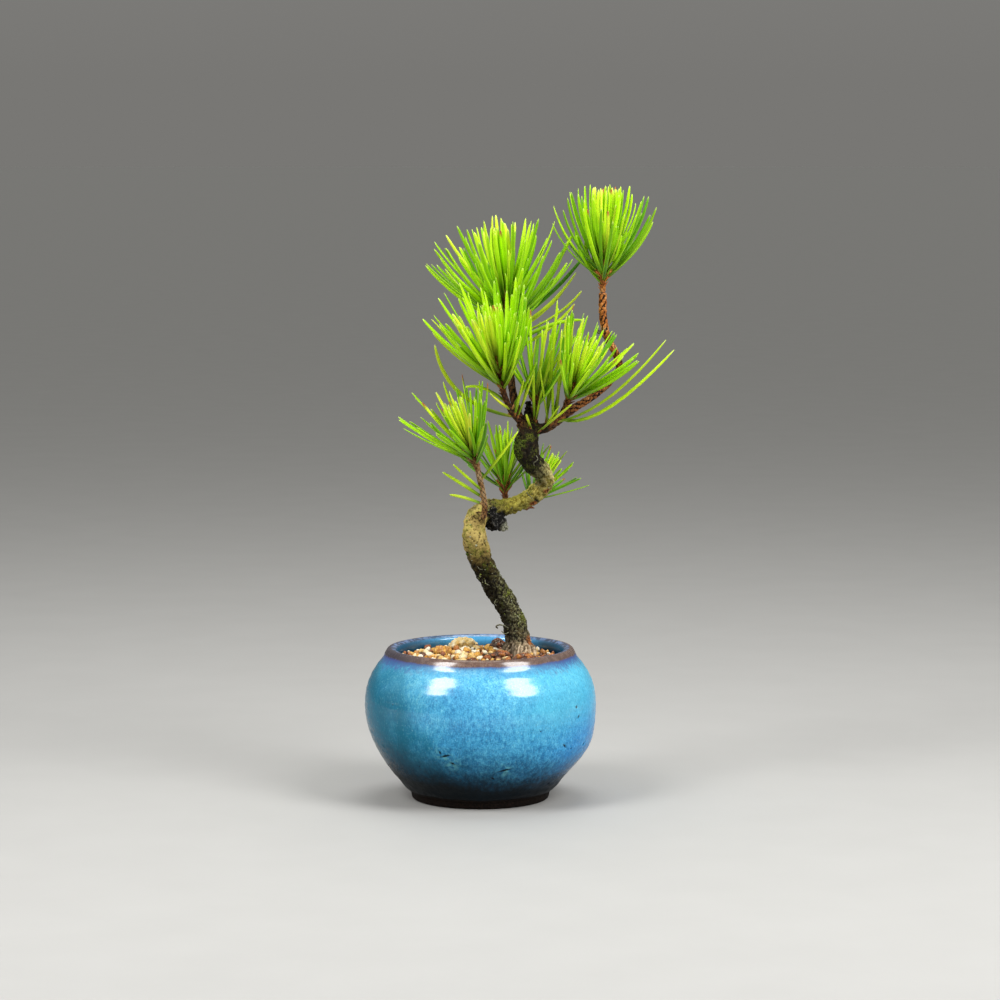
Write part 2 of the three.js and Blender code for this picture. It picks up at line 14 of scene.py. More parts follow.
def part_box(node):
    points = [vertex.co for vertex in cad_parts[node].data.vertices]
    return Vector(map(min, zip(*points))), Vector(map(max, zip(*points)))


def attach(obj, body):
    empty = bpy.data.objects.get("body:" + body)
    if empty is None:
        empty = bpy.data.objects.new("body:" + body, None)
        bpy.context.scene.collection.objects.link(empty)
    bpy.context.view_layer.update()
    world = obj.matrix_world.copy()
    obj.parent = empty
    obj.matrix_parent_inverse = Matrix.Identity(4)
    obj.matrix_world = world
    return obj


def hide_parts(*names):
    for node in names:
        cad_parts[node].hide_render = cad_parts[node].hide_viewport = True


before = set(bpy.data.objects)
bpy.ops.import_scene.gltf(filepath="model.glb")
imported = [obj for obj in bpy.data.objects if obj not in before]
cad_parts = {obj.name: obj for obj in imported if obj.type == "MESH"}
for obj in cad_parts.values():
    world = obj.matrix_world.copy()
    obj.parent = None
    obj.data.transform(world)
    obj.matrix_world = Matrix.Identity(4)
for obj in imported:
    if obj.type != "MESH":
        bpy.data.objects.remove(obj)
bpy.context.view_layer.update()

MM = 0.001
pot_low, pot_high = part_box("pot")
POT_AXIS = Vector(((pot_low.x + pot_high.x) / 2, (pot_low.y + pot_high.y) / 2, 0))
TO_FRAME = Matrix.Translation(POT_AXIS) @ Matrix.Scale(MM, 4)
GOLDEN_ANGLE = math.pi * (3 - math.sqrt(5))

# The camera stands in front of the pot, a little above it, and looks down slightly.
CAMERA_PLACE = (7.8, -1325, 258)
CAMERA_TILT = 84
CAMERA_LENS = 121.5
SENSOR = 36

bpy.context.scene.view_settings.view_transform = "Standard"


def draws_from(seed):
    """A repeatable draw between 0 and 1."""
    state = seed

    def draw():
        nonlocal state
        state = state * 16807 % 2147483647
        return state / 2147483647

    return draw


def clamped(value, low=0.0, high=1.0):
    return min(max(value, low), high)


def lerp(one, other, share):
    return one + (other - one) * share


def smooth(value, low, high):
    share = clamped((value - low) / (high - low))
    return share * share * (3 - 2 * share)


def unit(vector):
    return vector / np.linalg.norm(vector)


def unit_rows(rows):
    return rows / np.linalg.norm(rows, axis=1)[:, None]


def paint(code):
    """A colour from its six-digit sRGB code, or a grey from a number, as linear values with alpha."""
    if not isinstance(code, str):
        return (code, code, code, 1)
    parts = [int(code[i:i + 2], 16) / 255 for i in (0, 2, 4)]
    return (*[c / 12.92 if c <= 0.04045 else ((c + 0.055) / 1.055) ** 2.4 for c in parts], 1)


# Finishes


class Signal:
    """A value that varies over a surface. Its operators add the Math nodes that work it out."""

    def __init__(self, finish, socket):
        self.finish, self.socket = finish, socket

    def math(self, operation, *terms):
        return self.finish.node("ShaderNodeMath", {"operation": operation}, dict(enumerate(terms)))

    def __add__(self, other):
        return self.math("ADD", self, other)

    def __sub__(self, other):
        return self.math("SUBTRACT", self, other)

    def __rsub__(self, other):
        return self.math("SUBTRACT", other, self)

    def __mul__(self, other):
        return self.math("MULTIPLY", self, other)

    def __pow__(self, other):
        return self.math("POWER", self, other)

    def __abs__(self):
        return self.math("ABSOLUTE", self)

    __radd__, __rmul__ = __add__, __mul__


class Finish:
    """A procedural material whose patterns are laid out in millimetres about the pot's axis."""

    def __init__(self, name):
        self.material = bpy.data.materials.new(name)
        self.material.use_nodes = True
        self.tree = self.material.node_tree
        self.shader = self.tree.nodes["Principled BSDF"]
        metres = self.node("ShaderNodeTexCoord", output="Object")
        centre = {"Vector": metres, "Location": -POT_AXIS / MM, "Scale": (1 / MM,) * 3}
        self.place = self.node("ShaderNodeMapping", {}, centre)
        self.x, self.y, self.z = [
            self.node("ShaderNodeSeparateXYZ", {}, {0: self.place}, axis) for axis in "XYZ"
        ]

    def node(self, kind, settings=None, inputs=None, output=0):
        """A node's output as a Signal: its settings are set first, then its sockets are set or linked."""
        made = self.tree.nodes.new(kind)
        for name, value in (settings or {}).items():
            setattr(made, name, value)
        for name, value in (inputs or {}).items():
            self.feed(made.inputs[name], value)
        return Signal(self, made.outputs[output])

    def feed(self, socket, value):
        """Links a Signal to a socket, or sets the socket to a value or to a colour code."""
        if isinstance(value, Signal):
            self.tree.links.new(value.socket, socket)
        else:
            socket.default_value = paint(value) if isinstance(value, str) else value

    def dress(self, **sockets):
        """Sets or links the shader's own sockets, named in lower case with underscores."""
        named = {socket.name.lower().replace(" ", "_"): socket for socket in self.shader.inputs}
        for name, value in sockets.items():
            self.feed(named[name], value)
        return self.material

    def stretched(self, *factors):
        return self.node("ShaderNodeVectorMath", {"operation": "MULTIPLY"}, {0: self.place, 1: factors})

    def noise(self, size, detail=2, at=None):
        """Soft noise around a half, with features about size millimetres across."""
        inputs = {"Vector": at or self.place, "Scale": 1 / size, "Detail": detail}
        return self.node("ShaderNodeTexNoise", {}, inputs)

    def cells(self, size, at=None):
        """The distance to the nearest of many points, which lie about size millimetres apart."""
        return self.node("ShaderNodeTexVoronoi", {}, {"Vector": at or self.place, "Scale": 1 / size})

    def between(self, value, low, high):
        """0 on low's side, 1 on high's side and smooth between them."""
        inputs = {"Value": value, "From Min": low, "From Max": high}
        return self.node("ShaderNodeMapRange", {"interpolation_type": "SMOOTHSTEP"}, inputs)

    def ramp(self, value, stops):
        """The colour at a value, between the colours given for some values."""
        made = self.node("ShaderNodeValToRGB", {}, {0: value})
        elements = made.socket.node.color_ramp.elements
        first, *inner, last = stops.items()
        for element, (at, colour) in zip(elements, (first, last)):
            element.position, element.color = at, paint(colour)
        for at, colour in inner:
            elements.new(at).color = paint(colour)
        return made

    def mix(self, share, one, other):
        return self.node("ShaderNodeMix", {"data_type": "RGBA"}, {0: share, 6: one, 7: other}, 2)

    def layered(self, base, *layers):
        """A colour with others laid over it in turn, each told by how much of it shows and its colour."""
        for share, colour in layers:
            base = self.mix(share, base, colour)
        return base

    def attribute(self, name):
        return self.node("ShaderNodeAttribute", {"attribute_name": name}, {}, "Fac")

    def bump(self, height, depth):
        """A surface normal from a height of 0 to 1 that is depth millimetres deep."""
        return self.node("ShaderNodeBump", {}, {"Height": height, "Distance": depth * MM}, "Normal")


def glaze_finish():
    """Turquoise-blue glaze: fine runs, violet under a bare brown lip, painted light at the upper right and
    painted shade on the left and low down, nearly black at the foot.
    """
    f = Finish("blue_glaze")
    radius = (f.x * f.x + f.y * f.y) ** 0.5
    inside = f.between(radius + (f.noise(4) - 0.5) * 0.8, 35.6, 34.9) * f.between(f.z, 30, 34)
    wander = f.noise(9, 3) - 0.5
    runs = f.noise(1.2, 4, f.stretched(1, 1, 0.3))
    threads = f.noise(0.5, 3, f.stretched(1, 1, 0.42))
    mottle = f.noise(2.2, 3)
    grain = f.noise(0.55, 3)
    # The body's tone is painted lighter higher up the wall, as painted light from above.
    tone = f.noise(16) * 0.26 + runs * 0.24 + mottle * 0.22 + grain * 0.28 + (f.z - 36) * 0.0028
    body = f.ramp(tone, {0.38: "2B7CB0", 0.45: "3E98CC", 0.5: "4BA9DA", 0.56: "5CBCE6", 0.64: "7FD6F0"})

    # The wall's outside: broad colours, with painted light at the upper right, then threads, flecks and stars,
    # then violet above and painted shade on the left and below
    teal = f.between(f.x * 0.8 + f.z * 0.3 + wander * 26, 6, -20)
    azure = f.between(f.x * 0.8 - f.z * 0.5 + wander * 14, 6, 20)
    # The upper right is painted lighter and greener-blue, as painted light from above and the right.
    painted_light_upper_right = f.between(f.x + wander * 14, 8, 26) * f.between(f.z + wander * 10, 28, 42)
    flecks = f.between(f.cells(1.1), 0.2, 0.07) * f.between(mottle, 0.46, 0.6)
    stars = f.between(f.cells(1.9, f.stretched(1.1, 1.1, 0.8)), 0.15, 0.05)
    ends = f.between(abs(f.x), 12, 34)
    violet = f.between(f.z + wander * 3 + (runs - 0.5) * 7, 53, 57) * (0.35 + ends * 0.55)
    # Painted shade: the left side, the lower wall, and nearly black towards the foot where the glaze pools.
    shadow = f.between(f.x + f.z * 0.6 + wander * 16, 6, -20)
    low = f.between(f.z + f.x * 0.1 + wander * 6 + (runs - 0.5) * 7, 29, 11)
    pooled_glaze_and_shade = f.between(f.z + f.x * 0.06 + wander * 6 + (runs - 0.5) * 6, 16.5, 7.5)
    lip_height = f.z + wander * 1.1 + (runs - 0.5) * 0.7
    body = f.layered(
        body, (teal * 0.85, "14809E"), (azure * 0.5, "2A8CDC"), (painted_light_upper_right * 0.42, "62D8F2"),
        (f.between(threads, 0.52, 0.68) * 0.42, "2A72A2"), (f.between(threads, 0.44, 0.32) * 0.26, "8EDBEE"),
        (flecks * 0.6, "1D618E"), (stars * 0.4, "9FE3EE"), (violet, "46609C"), (shadow * 0.55, "0A4456"),
        (low * 0.86, "08283A"), (pooled_glaze_and_shade * 0.94, "040708"), (f.between(lip_height, 56.4, 58) * 0.75, "4A4A86"),
    )

    # The bare lip, the wall's inside, the marks in the glaze and the clay of the foot
    lip_share = f.between(lip_height, 57.5, 58.2) * (1 - inside)
    lip = f.ramp(mottle * 0.6 + grain * 0.4, {0.38: "5E4432", 0.48: "6C4E3A", 0.54: "785A46", 0.64: "8A6E5C"})
    # The lip goes greyer towards its ends, and its left side is painted darker as painted shade.
    lip = f.layered(lip, (ends * 0.5, "64584E"), (f.between(f.x + wander * 12, -14, -36) * 0.75, "33343C"))
    rim_top = f.mix(f.between(mottle, 0.44, 0.58), "4C4A58", "7688AE")
    # The inside wall is painted darker low down towards the grit and at its sides, as painted shade.
    wall = f.layered(
        f.mix(f.between(f.z, 50, 59), "0E3656", "4FA6DC"), (f.between(threads, 0.5, 0.66) * 0.5, "2F7FB8"),
        (f.between(abs(f.x), 14, 31) * 0.8, "0E2A3E"), (f.between(f.z, 59, 59.9) * 0.8, rim_top),
    )
    clay_share = f.between(f.z + wander * 1.2, 4.2, 3.7)
    colour = f.layered(
        body, (lip_share * 0.94, lip), (inside, wall),
        (f.attribute("pale") * f.between(mottle, 0.42, 0.6) * 0.4, "7CC4BC"),
        (f.between(f.attribute("pit"), 0.15, 0.75), "0A1822"),
        (clay_share, f.ramp(grain, {0.36: "0A0706", 0.52: "17100C", 0.66: "2A1E17"})),
    )
    gloss = 0.14 + lip_share * 0.06 + f.between(mottle, 0.46, 0.62) * 0.12 + pooled_glaze_and_shade * 0.25 + clay_share * 0.3
    height = runs * 0.5 + mottle * 0.5 + grain * (0.25 + clay_share * 1.2)
    facing = f.node("ShaderNodeLayerWeight", {}, {"Blend": 0.5}, "Facing")
    return f.dress(
        base_color=colour, roughness=gloss, normal=f.bump(height, 0.2), specular_ior_level=0.1,
        coat_weight=f.between(f.z, 30, 45) * f.between(facing, 0.62, 0.32),
        coat_roughness=0.15, coat_ior=1.65,
    )


def plastic_finish():
    f = Finish("black_mesh_plastic")
    grain = f.noise(0.4, 3)
    dust = f.between(f.noise(2.5, 3), 0.5, 0.62)
    colour = f.mix(dust * 0.5, f.mix(grain, "1C1F1C", "34382F"), "6A5C47")
    return f.dress(base_color=colour, roughness=0.5 + dust * 0.3, normal=f.bump(grain, 0.05))


def soil_finish():
    f = Finish("dark_soil")
    crumbs = f.cells(1.4)
    grain = f.noise(0.8, 4)
    colour = f.ramp(grain * 0.6 + crumbs * 0.5, {0.3: "1D130C", 0.5: "3D2A1B", 0.68: "5E4329", 0.8: "7A5B38"})
    return f.dress(base_color=colour, roughness=0.95, normal=f.bump(1 - crumbs, 0.5))


GRIT_COLOURS = {
    0.0: "2A180D", 0.1: "54301A", 0.2: "8E4A22", 0.3: "AC6428", 0.42: "BE8226", 0.54: "DDA23A",
    0.68: "E6C06E", 0.82: "F3DCA4", 0.94: "FBF2D8",
}


def grit_finish():
    """Stone whose tint runs along the grit's colours, clouded and speckled by noise, with painted shade laid
    over it.
    """
    f = Finish("grit_stone")
    cloud = f.noise(1.6, 3)
    speck = f.noise(0.45, 3)
    colour = f.layered(
        f.ramp(f.attribute("tint") + (cloud - 0.5) * 0.22, GRIT_COLOURS),
        (f.between(speck, 0.52, 0.66) * 0.5, "6E4622"), (f.between(speck, 0.44, 0.32) * 0.4, "FBF1D6"),
        # Painted shade, under and between the grains and stones
        (f.attribute("painted_shade") * 0.85, "1F120A"),
    )
    shine = 0.4 + f.between(cloud, 0.4, 0.6) * 0.35
    return f.dress(base_color=colour, roughness=shine, normal=f.bump(speck * 0.6 + cloud, 0.3))


ORANGE_BARK = {0.38: "74401C", 0.47: "A86028", 0.54: "CC7F3C", 0.64: "D6A878"}
TAN_BARK = {0.38: "62401F", 0.46: "8A6238", 0.53: "A98458", 0.64: "C8AE86"}


def scaly_colour(f, relief, colours=ORANGE_BARK, deep="4A2A18"):
    """Bark of young shoots: leaf bases with dark gaps between them, all darker where the shade is high."""
    ridge = f.ramp(f.noise(5) * 0.6 + f.noise(0.5, 3) * 0.4, colours)
    bright = f.mix(f.between(relief, 0.16, 0.56), "241208", ridge)
    return f.mix(f.attribute("shade"), bright, f.mix(f.between(relief, 0.3, 0.8), "120905", deep))


def shoot_finish(name, colours):
    f = Finish(name)
    colour = scaly_colour(f, f.attribute("relief"), colours)
    return f.dress(
        base_color=colour, roughness=0.72, normal=f.bump(f.noise(0.35, 3), 0.12), specular_ior_level=0.2,
    )


def bark_finish():
    """Bark that changes along the trunk: dark and flecked low down, olive in the bend, dark higher up."""
    f = Finish("pine_bark")
    relief = f.attribute("relief")
    cloud = f.noise(5, 3)
    fine = f.noise(1, 4)
    tiny = f.noise(0.4, 3)
    flecks = f.noise(0.55, 4, f.stretched(1, 1, 0.65))
    share = (f.attribute("run") + (cloud - 0.5) * 16 + (fine - 0.5) * 9) * (1 / TRUNK_LENGTH)
    high = f.ramp(share, {
        0.15: "E4CCAC", 0.178: "9E8C6E", 0.21: "615E3E", 0.36: "4E4C2E", 0.4: "40361A", 0.43: "3A2F10",
        0.475: "A38C4C", 0.505: "C2AA64", 0.575: "BAA75C", 0.61: "746A3A", 0.66: "A0963E", 0.7: "D6C858",
        0.735: "FFF078", 0.8: "FFEA84", 0.835: "D8C886", 0.86: "B4AC70", 0.885: "171109", 1.0: "22150A",
    })
    low = f.ramp(share, {
        0.15: "A89276", 0.188: "241D14", 0.44: "0E0A05", 0.48: "57481F", 0.575: "6A5C32", 0.61: "1B150B",
        0.66: "6E6426", 0.735: "B4A23E", 0.8: "B09A44", 0.85: "6A5F30", 0.885: "0A0805", 1.0: "0A0704",
    })
    # How freely dark and pale flecks show along the trunk
    bare = f.ramp(share, {
        0.155: 0.25, 0.2: 1, 0.36: 0.9, 0.4: 0.3, 0.46: 0.06, 0.59: 0.15, 0.65: 0.2, 0.79: 0.3,
        0.86: 0.5, 0.89: 0.12,
    })
    smudge = f.between(f.noise(2.6, 3), 0.53, 0.64) * f.between(fine, 0.42, 0.58)
    spots = f.between(f.cells(1.7), 0.2, 0.08) * f.between(tiny, 0.44, 0.56)
    green = f.between(f.noise(3.6, 3), 0.5, 0.62) * f.between(tiny, 0.4, 0.6)
    pale_dead = f.mix(f.between(tiny, 0.42, 0.58), "3B3B26", "A8A893")
    burnt = f.mix(f.between(fine, 0.54, 0.64) * 0.7, "0D0B0A", "5E5C57")
    colour = f.layered(
        f.mix(f.between(relief + (fine - 0.5) * 1.3, 0.3, 0.68), low, high),
        (f.between(flecks, 0.52, 0.42) * bare * 0.85, "14110A"),
        (f.between(flecks, 0.56, 0.63) * bare * 0.5, "A5A27A"),
        (smudge * 0.5, "4B3D1C"), (spots * 0.8, "241A0B"),
        (green * f.between(share, 0.2, 0.24) * 0.5, "7F8B26"),
        # Painted shade on the trunk's underside and low on its left side
        (f.attribute("under") * 0.82, "0F0B07"),
        (f.attribute("moss"), f.mix(f.between(tiny, 0.42, 0.6), "1A2008", "606828")),
        (f.attribute("amber"), f.mix(f.between(fine, 0.4, 0.6), "46240F", "A8683A")),
        (f.attribute("twig"), scaly_colour(f, relief, deep="4E3320")),
        (f.attribute("dead"), f.mix(f.attribute("shade"), burnt, pale_dead)),
    )
    normal = f.bump(fine * 0.5 + tiny * 0.3 + flecks * 0.4, 0.5)
    return f.dress(base_color=colour, roughness=0.55 + fine * 0.35, normal=normal, specular_ior_level=0.15)


def moss_finish():
    f = Finish("moss_and_lichen")
    fine = f.noise(0.3, 3)
    colour = f.ramp(
        f.attribute("tint") + (fine - 0.5) * 0.3,
        {0.0: "1E2408", 0.35: "56641E", 0.6: "848E40", 0.75: "8A8C6C", 1.0: "BDBCA4"},
    )
    return f.dress(base_color=colour, roughness=0.9, normal=f.bump(fine, 0.1), specular_ior_level=0.15)


def needle_finish():
    """Needles: lime with a painted highlight along the edges and paler tips, painted shade deeper towards their
    roots; old ones go olive-yellow.
    """
    f = Finish("pine_needle")
    along, tint = f.attribute("along"), f.attribute("tint")
    fresh = f.ramp(tint, {0.0: "2A6200", 0.25: "5EA400", 0.5: "A0E000", 0.75: "C6FC00", 1.0: "EEFF3C"})
    old = f.ramp(tint, {0.0: "74800C", 0.5: "B0BC1C", 1.0: "DEE038"})
    streak = f.noise(0.6, 3)
    pale = f.between(along, 0.86, 1.0) * f.between(tint, 0.72, 1.0)
    colour = f.layered(
        fresh, (f.attribute("age"), old),
        # Painted shade deepening towards the roots inside the spray, then the roots' own yellowish colour
        (f.between(along, 0.62, 0.05) * 0.8, "1F5600"), (f.between(along, 0.12, 0.0) * 0.85, "A39A3C"),
        # A painted highlight along each needle's edges
        (f.between(f.attribute("edge"), 0.6, 1.0) * 0.25, "D4F650"),
        (f.between(streak, 0.5, 0.7) * 0.2, "5CA408"), (f.between(along, 0.95, 1.0) * 0.4, "E6EE8C"),
        (pale * 0.5, "E6FF7E"), (f.attribute("burnt") * f.between(along, 0.86, 0.98), "B5673A"),
    )
    normal = f.bump(streak, 0.02)
    return f.dress(base_color=colour, roughness=0.36 + streak * 0.2, normal=normal, specular_ior_level=0.25)


def floor_finish():
    f = Finish("pale_floor")
    colour = f.mix(f.noise(35, 4), "B2B1AE", "B8B7B4")
    return f.dress(base_color=colour, roughness=0.75, normal=f.bump(f.noise(4, 3), 0.05))


# Meshes


def mesh_of(bm, name):
    """A bmesh as a mesh. The bmesh is used up."""
    mesh = bpy.data.meshes.new(name)
    bm.to_mesh(mesh)
    bm.free()
    return mesh


def in_scene(name, data):
    made = bpy.data.objects.new(name, data)
    bpy.context.scene.collection.objects.link(made)
    return made


def piece(name, bm, finish, stands_for=(), values=None, facets=False):
    """A finished piece of the object, from a bmesh in millimetres and its vertices' attribute values."""
    bm.transform(TO_FRAME)
    mesh = mesh_of(bm, name)
    for attribute, numbers in (values or {}).items():
        layer = mesh.attributes.new(attribute, "FLOAT", "POINT")
        layer.data.foreach_set("value", np.asarray(numbers, np.float32))
    if not facets:
        mesh.shade_smooth()
    mesh.materials.append(finish)
    made = in_scene(name, mesh)
    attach(made, "root")
    if stands_for:
        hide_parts(*stands_for)


class Stamp:
    """A small shape that is set into a bmesh again and again, its vertices placed anew each time."""

    def __init__(self, bm):
        self.mesh = mesh_of(bm, "stamp")
        self.at = np.array([vert.co for vert in self.mesh.vertices])

    def set_into(self, bm, places):
        self.mesh.vertices.foreach_set("co", places.ravel())
        bm.from_mesh(self.mesh)

    def remove(self):
        bpy.data.meshes.remove(self.mesh)


def spun(profile, steps, closed):
    """A bmesh of a section of (radius, height) points turned about the pot's axis."""
    bm = bmesh.new()
    verts = [bm.verts.new((radius, 0, height)) for radius, height in profile]
    edges = [bm.edges.new(pair) for pair in zip(verts, verts[1:])]
    if closed:
        edges.append(bm.edges.new((verts[-1], verts[0])))
    turn = {"cent": (0, 0, 0), "axis": (0, 0, 1), "angle": math.tau, "steps": steps, "use_merge": True}
    bmesh.ops.spin(bm, geom=verts + edges, **turn)
    bmesh.ops.remove_doubles(bm, verts=bm.verts, dist=1e-4)
    bmesh.ops.recalc_face_normals(bm, faces=bm.faces)
    return bm


def section_points(start, runs, pitch):
    """A section's points, about pitch apart: a run is its end alone, or two handles and its end."""
    points = [start]
    for run in runs:
        here, end = Vector(points[-1]), Vector(run[-1])
        if len(run) == 1:
            count = max(round((end - here).length / pitch), 1)
            points += [tuple(here.lerp(end, (i + 1) / count)) for i in range(count)]
        else:
            handles = [Vector(handle) for handle in run[:2]]
            count = max(round(((end - here).length * 1.1) / pitch), 3)
            points += [tuple(p)[:2] for p in interpolate_bezier(here, *handles, end, count + 1)[1:]]
    return points


# The pot's wall in section: foot ring, belly, lip, inner wall and floor, closed at the drain hole.
FOOT = [
    [(20.4, 2.4)], [(21.2, 2.4), (21.5, 2.2), (21.8, 1.6)], [(22.3, 0.6)],
    [(22.5, 0.1), (22.8, 0), (23.3, 0)], [(26.2, 0)], [(26.9, 0), (27.2, 0.3), (27.3, 0.9)], [(27.6, 2.6)],
    [(27.7, 3.1), (28, 3.2), (28.4, 3.5)],
]
BELLY = [[(37.5, 12.8), (46, 25), (46, 37.5)], [(46, 47), (41.7, 52.4), (38.2, 56.4)]]
LIP = [[(37.4, 58.6), (36.8, 60.2), (35.4, 60.2)], [(33.8, 60.2), (32.6, 59.4), (32.6, 57.6)]]
INSIDE = [
    [(32.6, 53), (41.2, 49), (41.2, 37.5)], [(41.2, 22), (33, 7.6), (20, 7.6)], [(5.6, 7.6)],
    [(5.2, 7.6), (5, 7.4), (5, 7)], [(5, 2.9)],
]
POT_SEGMENTS = 264
# Marks in the glaze: turn from the front in degrees, height, length, width, slant in degrees, depth
GLAZE_MARKS = [
    (-18.2, 23.5, 3.1, 0.75, 14, 0.8), (-20.8, 24.9, 1.4, 0.7, -64, 0.5), (-14.9, 20.4, 1.9, 0.8, -30, 0.6),
    (14.2, 17.5, 4.4, 0.7, 15, 0.7), (47.8, 25.6, 2.6, 0.6, -40, 0.5), (53.6, 24, 0.9, 0.6, 10, 0.5),
    (55.5, 40.4, 1.1, 1, 0, 0.9), (57.1, 36.3, 1.1, 1, 0, 0.9), (66.5, 24.4, 1.3, 0.8, 30, 0.6),
    (7.8, 14, 1.4, 0.7, -40, 0.4), (-62, 24, 1.5, 0.5, -60, 0.35), (52.8, 9, 1.2, 0.6, 0, 0.4),
    (31, 33, 0.5, 0.45, 0, 0.3), (-36, 18, 0.7, 0.5, 40, 0.35), (-48, 42, 0.5, 0.4, 0, 0.3),
    (118, 28, 0.7, 0.6, 0, 0.5), (143, 19, 2.2, 0.6, 35, 0.5), (-132, 31, 0.8, 0.6, 0, 0.5),
    (171, 44, 0.6, 0.5, 0, 0.4), (-98, 22, 1.6, 0.6, -20, 0.5), (-163, 15, 1.1, 0.6, 10, 0.4),
]
MARK_REACH = 4.5
# How many of the first marks have paler glaze around them
PALE_MARKS = 4
# How much fuller the low belly is on the right than on the left
FULLER = 1.6


def mark_places():
    """Each mark's middle on the wall, with its own sizes."""
    wall = section_points((28.4, 3.5), BELLY, 0.5)
    for turn, height, *sizes in GLAZE_MARKS:
        radius = min(wall, key=lambda point: abs(point[1] - height))[0]
        turn = math.radians(turn)
        yield Vector((radius * math.sin(turn), -radius * math.cos(turn), height)), sizes


def glazed_pot():
    hole_edge = [(5.2, 2.4), (5.4, 2.4), (5.8, 2.4)]
    section = section_points((5, 2.9), [hole_edge, *FOOT, *BELLY, *LIP, *INSIDE], 1.15)
    bm = spun(section[:-1], POT_SEGMENTS, True)
    marks = list(mark_places())
    near = [
        edge for edge in bm.edges
        if any((edge.verts[0].co - place).length < MARK_REACH for place, _ in marks)
    ]
    bmesh.ops.subdivide_edges(bm, edges=near, cuts=3, use_grid_fill=True)
    bm.normal_update()
    pits, pale, moves = [], [], []
    for vert in bm.verts:
        outward = Vector((vert.co.x, vert.co.y, 0)).normalized()
        height, pit = vert.co.z, 0.0
        move = outward * (noise.noise(vert.co / 24) * 0.4 + noise.noise(vert.co / 7) * 0.06)
        move += outward * 0.05 * math.sin(height * 1.9 + 0.6 * noise.noise(vert.co / 20))
        move *= smooth(height, 2, 12)
        edge = 5.2 + 1.6 * noise.noise(Vector((vert.co.x, vert.co.y, 0)) / 9)
        if vert.normal.dot(outward) > 0 and height > 3:
            move += vert.normal * 0.32 * math.exp(-(((height - edge) / 1.1) ** 2))
        pale.append(max(smooth((vert.co - place).length, 4.2, 0.5) for place, _ in marks[:PALE_MARKS]))
        for place, (length, width, slant, depth) in marks:
            gap = vert.co - place
            if gap.length > MARK_REACH or vert.normal.dot(outward) < 0:
                continue
            side = outward.cross(Vector((0, 0, 1)))
            lie = -math.radians(slant)
            across, up = gap.dot(side), gap.dot(vert.normal.cross(side))
            flat = (across * math.cos(lie) - up * math.sin(lie), across * math.sin(lie) + up * math.cos(lie))
            reach = (flat[0] / length) ** 2 + (flat[1] / width) ** 2
            if reach < 1:
                share = (1 - reach) ** 1.5 * (0.8 + 0.4 * noise.noise(vert.co * 2))
                move -= vert.normal * depth * share
                pit = max(pit, share)
        if vert.normal.dot(outward) > 0:
            move += outward * FULLER * smooth(outward.x, 0.1, 0.9) * math.exp(-(((height - 21) / 9) ** 2))
        moves.append(move)
        pits.append(pit)
    for vert, move in zip(bm.verts, moves):
        vert.co += move
    piece("glazed_pot", bm, glaze_finish(), ["pot"], {"pit": pits, "pale": pale})


def inner_radius(height):
    """The inner wall's radius at a height."""
    wall = section_points((32.6, 57.6), INSIDE[:2], 0.5)
    return min(wall, key=lambda point: abs(point[1] - height))[0]


# What fills the pot
SOIL_BOTTOM = 8.9
SOIL_AT_WALL = 52.6
SOIL_MOUND = 1.8
BED_THICKNESS = 2
MOUTH_RADIUS = 32.6
WALL_GAP = 0.5
GRAINS = 600
ROOT_PLACE = Vector((15.5, 5, 0))
ROOM_FOR_TRUNK = 4.6


def ground_height(radius):
    return SOIL_AT_WALL + SOIL_MOUND * (1 - (radius / 35.5) ** 2)


def cad_copy(node):
    """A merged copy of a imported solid, in millimetres about the pot's axis."""
    bm = bmesh.new()
    bm.from_mesh(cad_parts[node].data)
    bm.transform(TO_FRAME.inverted())
    bmesh.ops.remove_doubles(bm, verts=bm.verts, dist=1e-3)
    return bm


def drain_net():
    bm = cad_copy("drain_mesh")
    corners = [edge for edge in bm.edges if edge.is_manifold and edge.calc_face_angle() > 0.5]
    rounding = {"affect": "EDGES", "offset_type": "OFFSET", "offset": 0.22, "segments": 2}
    bmesh.ops.bevel(bm, geom=corners, profile=0.5, material=-1, **rounding)
    piece("drain_net", bm, plastic_finish(), ["drain_mesh"], facets=True)


def soil_ground():
    heights = [lerp(SOIL_BOTTOM, SOIL_AT_WALL, i / 24) for i in range(25)]
    wall = [(inner_radius(height) - WALL_GAP - 0.3, height) for height in heights]
    rim = wall[-1][0]
    floor = [(wall[0][0] * share, SOIL_BOTTOM) for share in (0, 0.25, 0.5, 0.75)]
    top = [(rim * share, ground_height(rim * share) - 0.3) for share in (0.9, 0.75, 0.6, 0.45, 0.3, 0.15, 0)]
    bm = spun([*floor, *wall, *top], 96, False)
    for vert in bm.verts:
        vert.co += vert.normal * 0.35 * (noise.noise(vert.co * 0.9) - 0.3)
    piece("soil_ground", bm, soil_finish(), ["soil"])


def grit_bed(finish):
    """The fine sand that shows between the grains, painted dark all over as the shade between them."""
    rim = inner_radius(SOIL_AT_WALL + BED_THICKNESS) - WALL_GAP
    shares = [i / 20 for i in range(21)]
    under = [(rim * share, ground_height(rim * share) + 0.2) for share in shares]
    over = [(rim * share, ground_height(rim * share) + BED_THICKNESS - 0.5) for share in reversed(shares)]
    bm = spun([*under, *over], 110, False)
    tints = []
    for vert in bm.verts:
        if vert.normal.z > 0.3:
            vert.co.z += 0.35 * noise.noise(vert.co * 0.8)
        tints.append(0.02 + 0.1 * (noise.noise(vert.co * 0.6) + 0.5))
    piece("grit_bed", bm, finish, ["grit"], {"tint": tints, "painted_shade": [0.72] * len(tints)})


def grain_tint(place, draw):
    """Cream and ochre grains on the left, rust and brown ones to the front right and at the back."""
    rusty = 0.24 + 0.5 * smooth(place.x - place.y * 0.5, 0, 20)
    drawn = draw()
    if draw() < rusty:
        return lerp(0, 0.36, drawn)
    return lerp(0.34, 1, drawn)


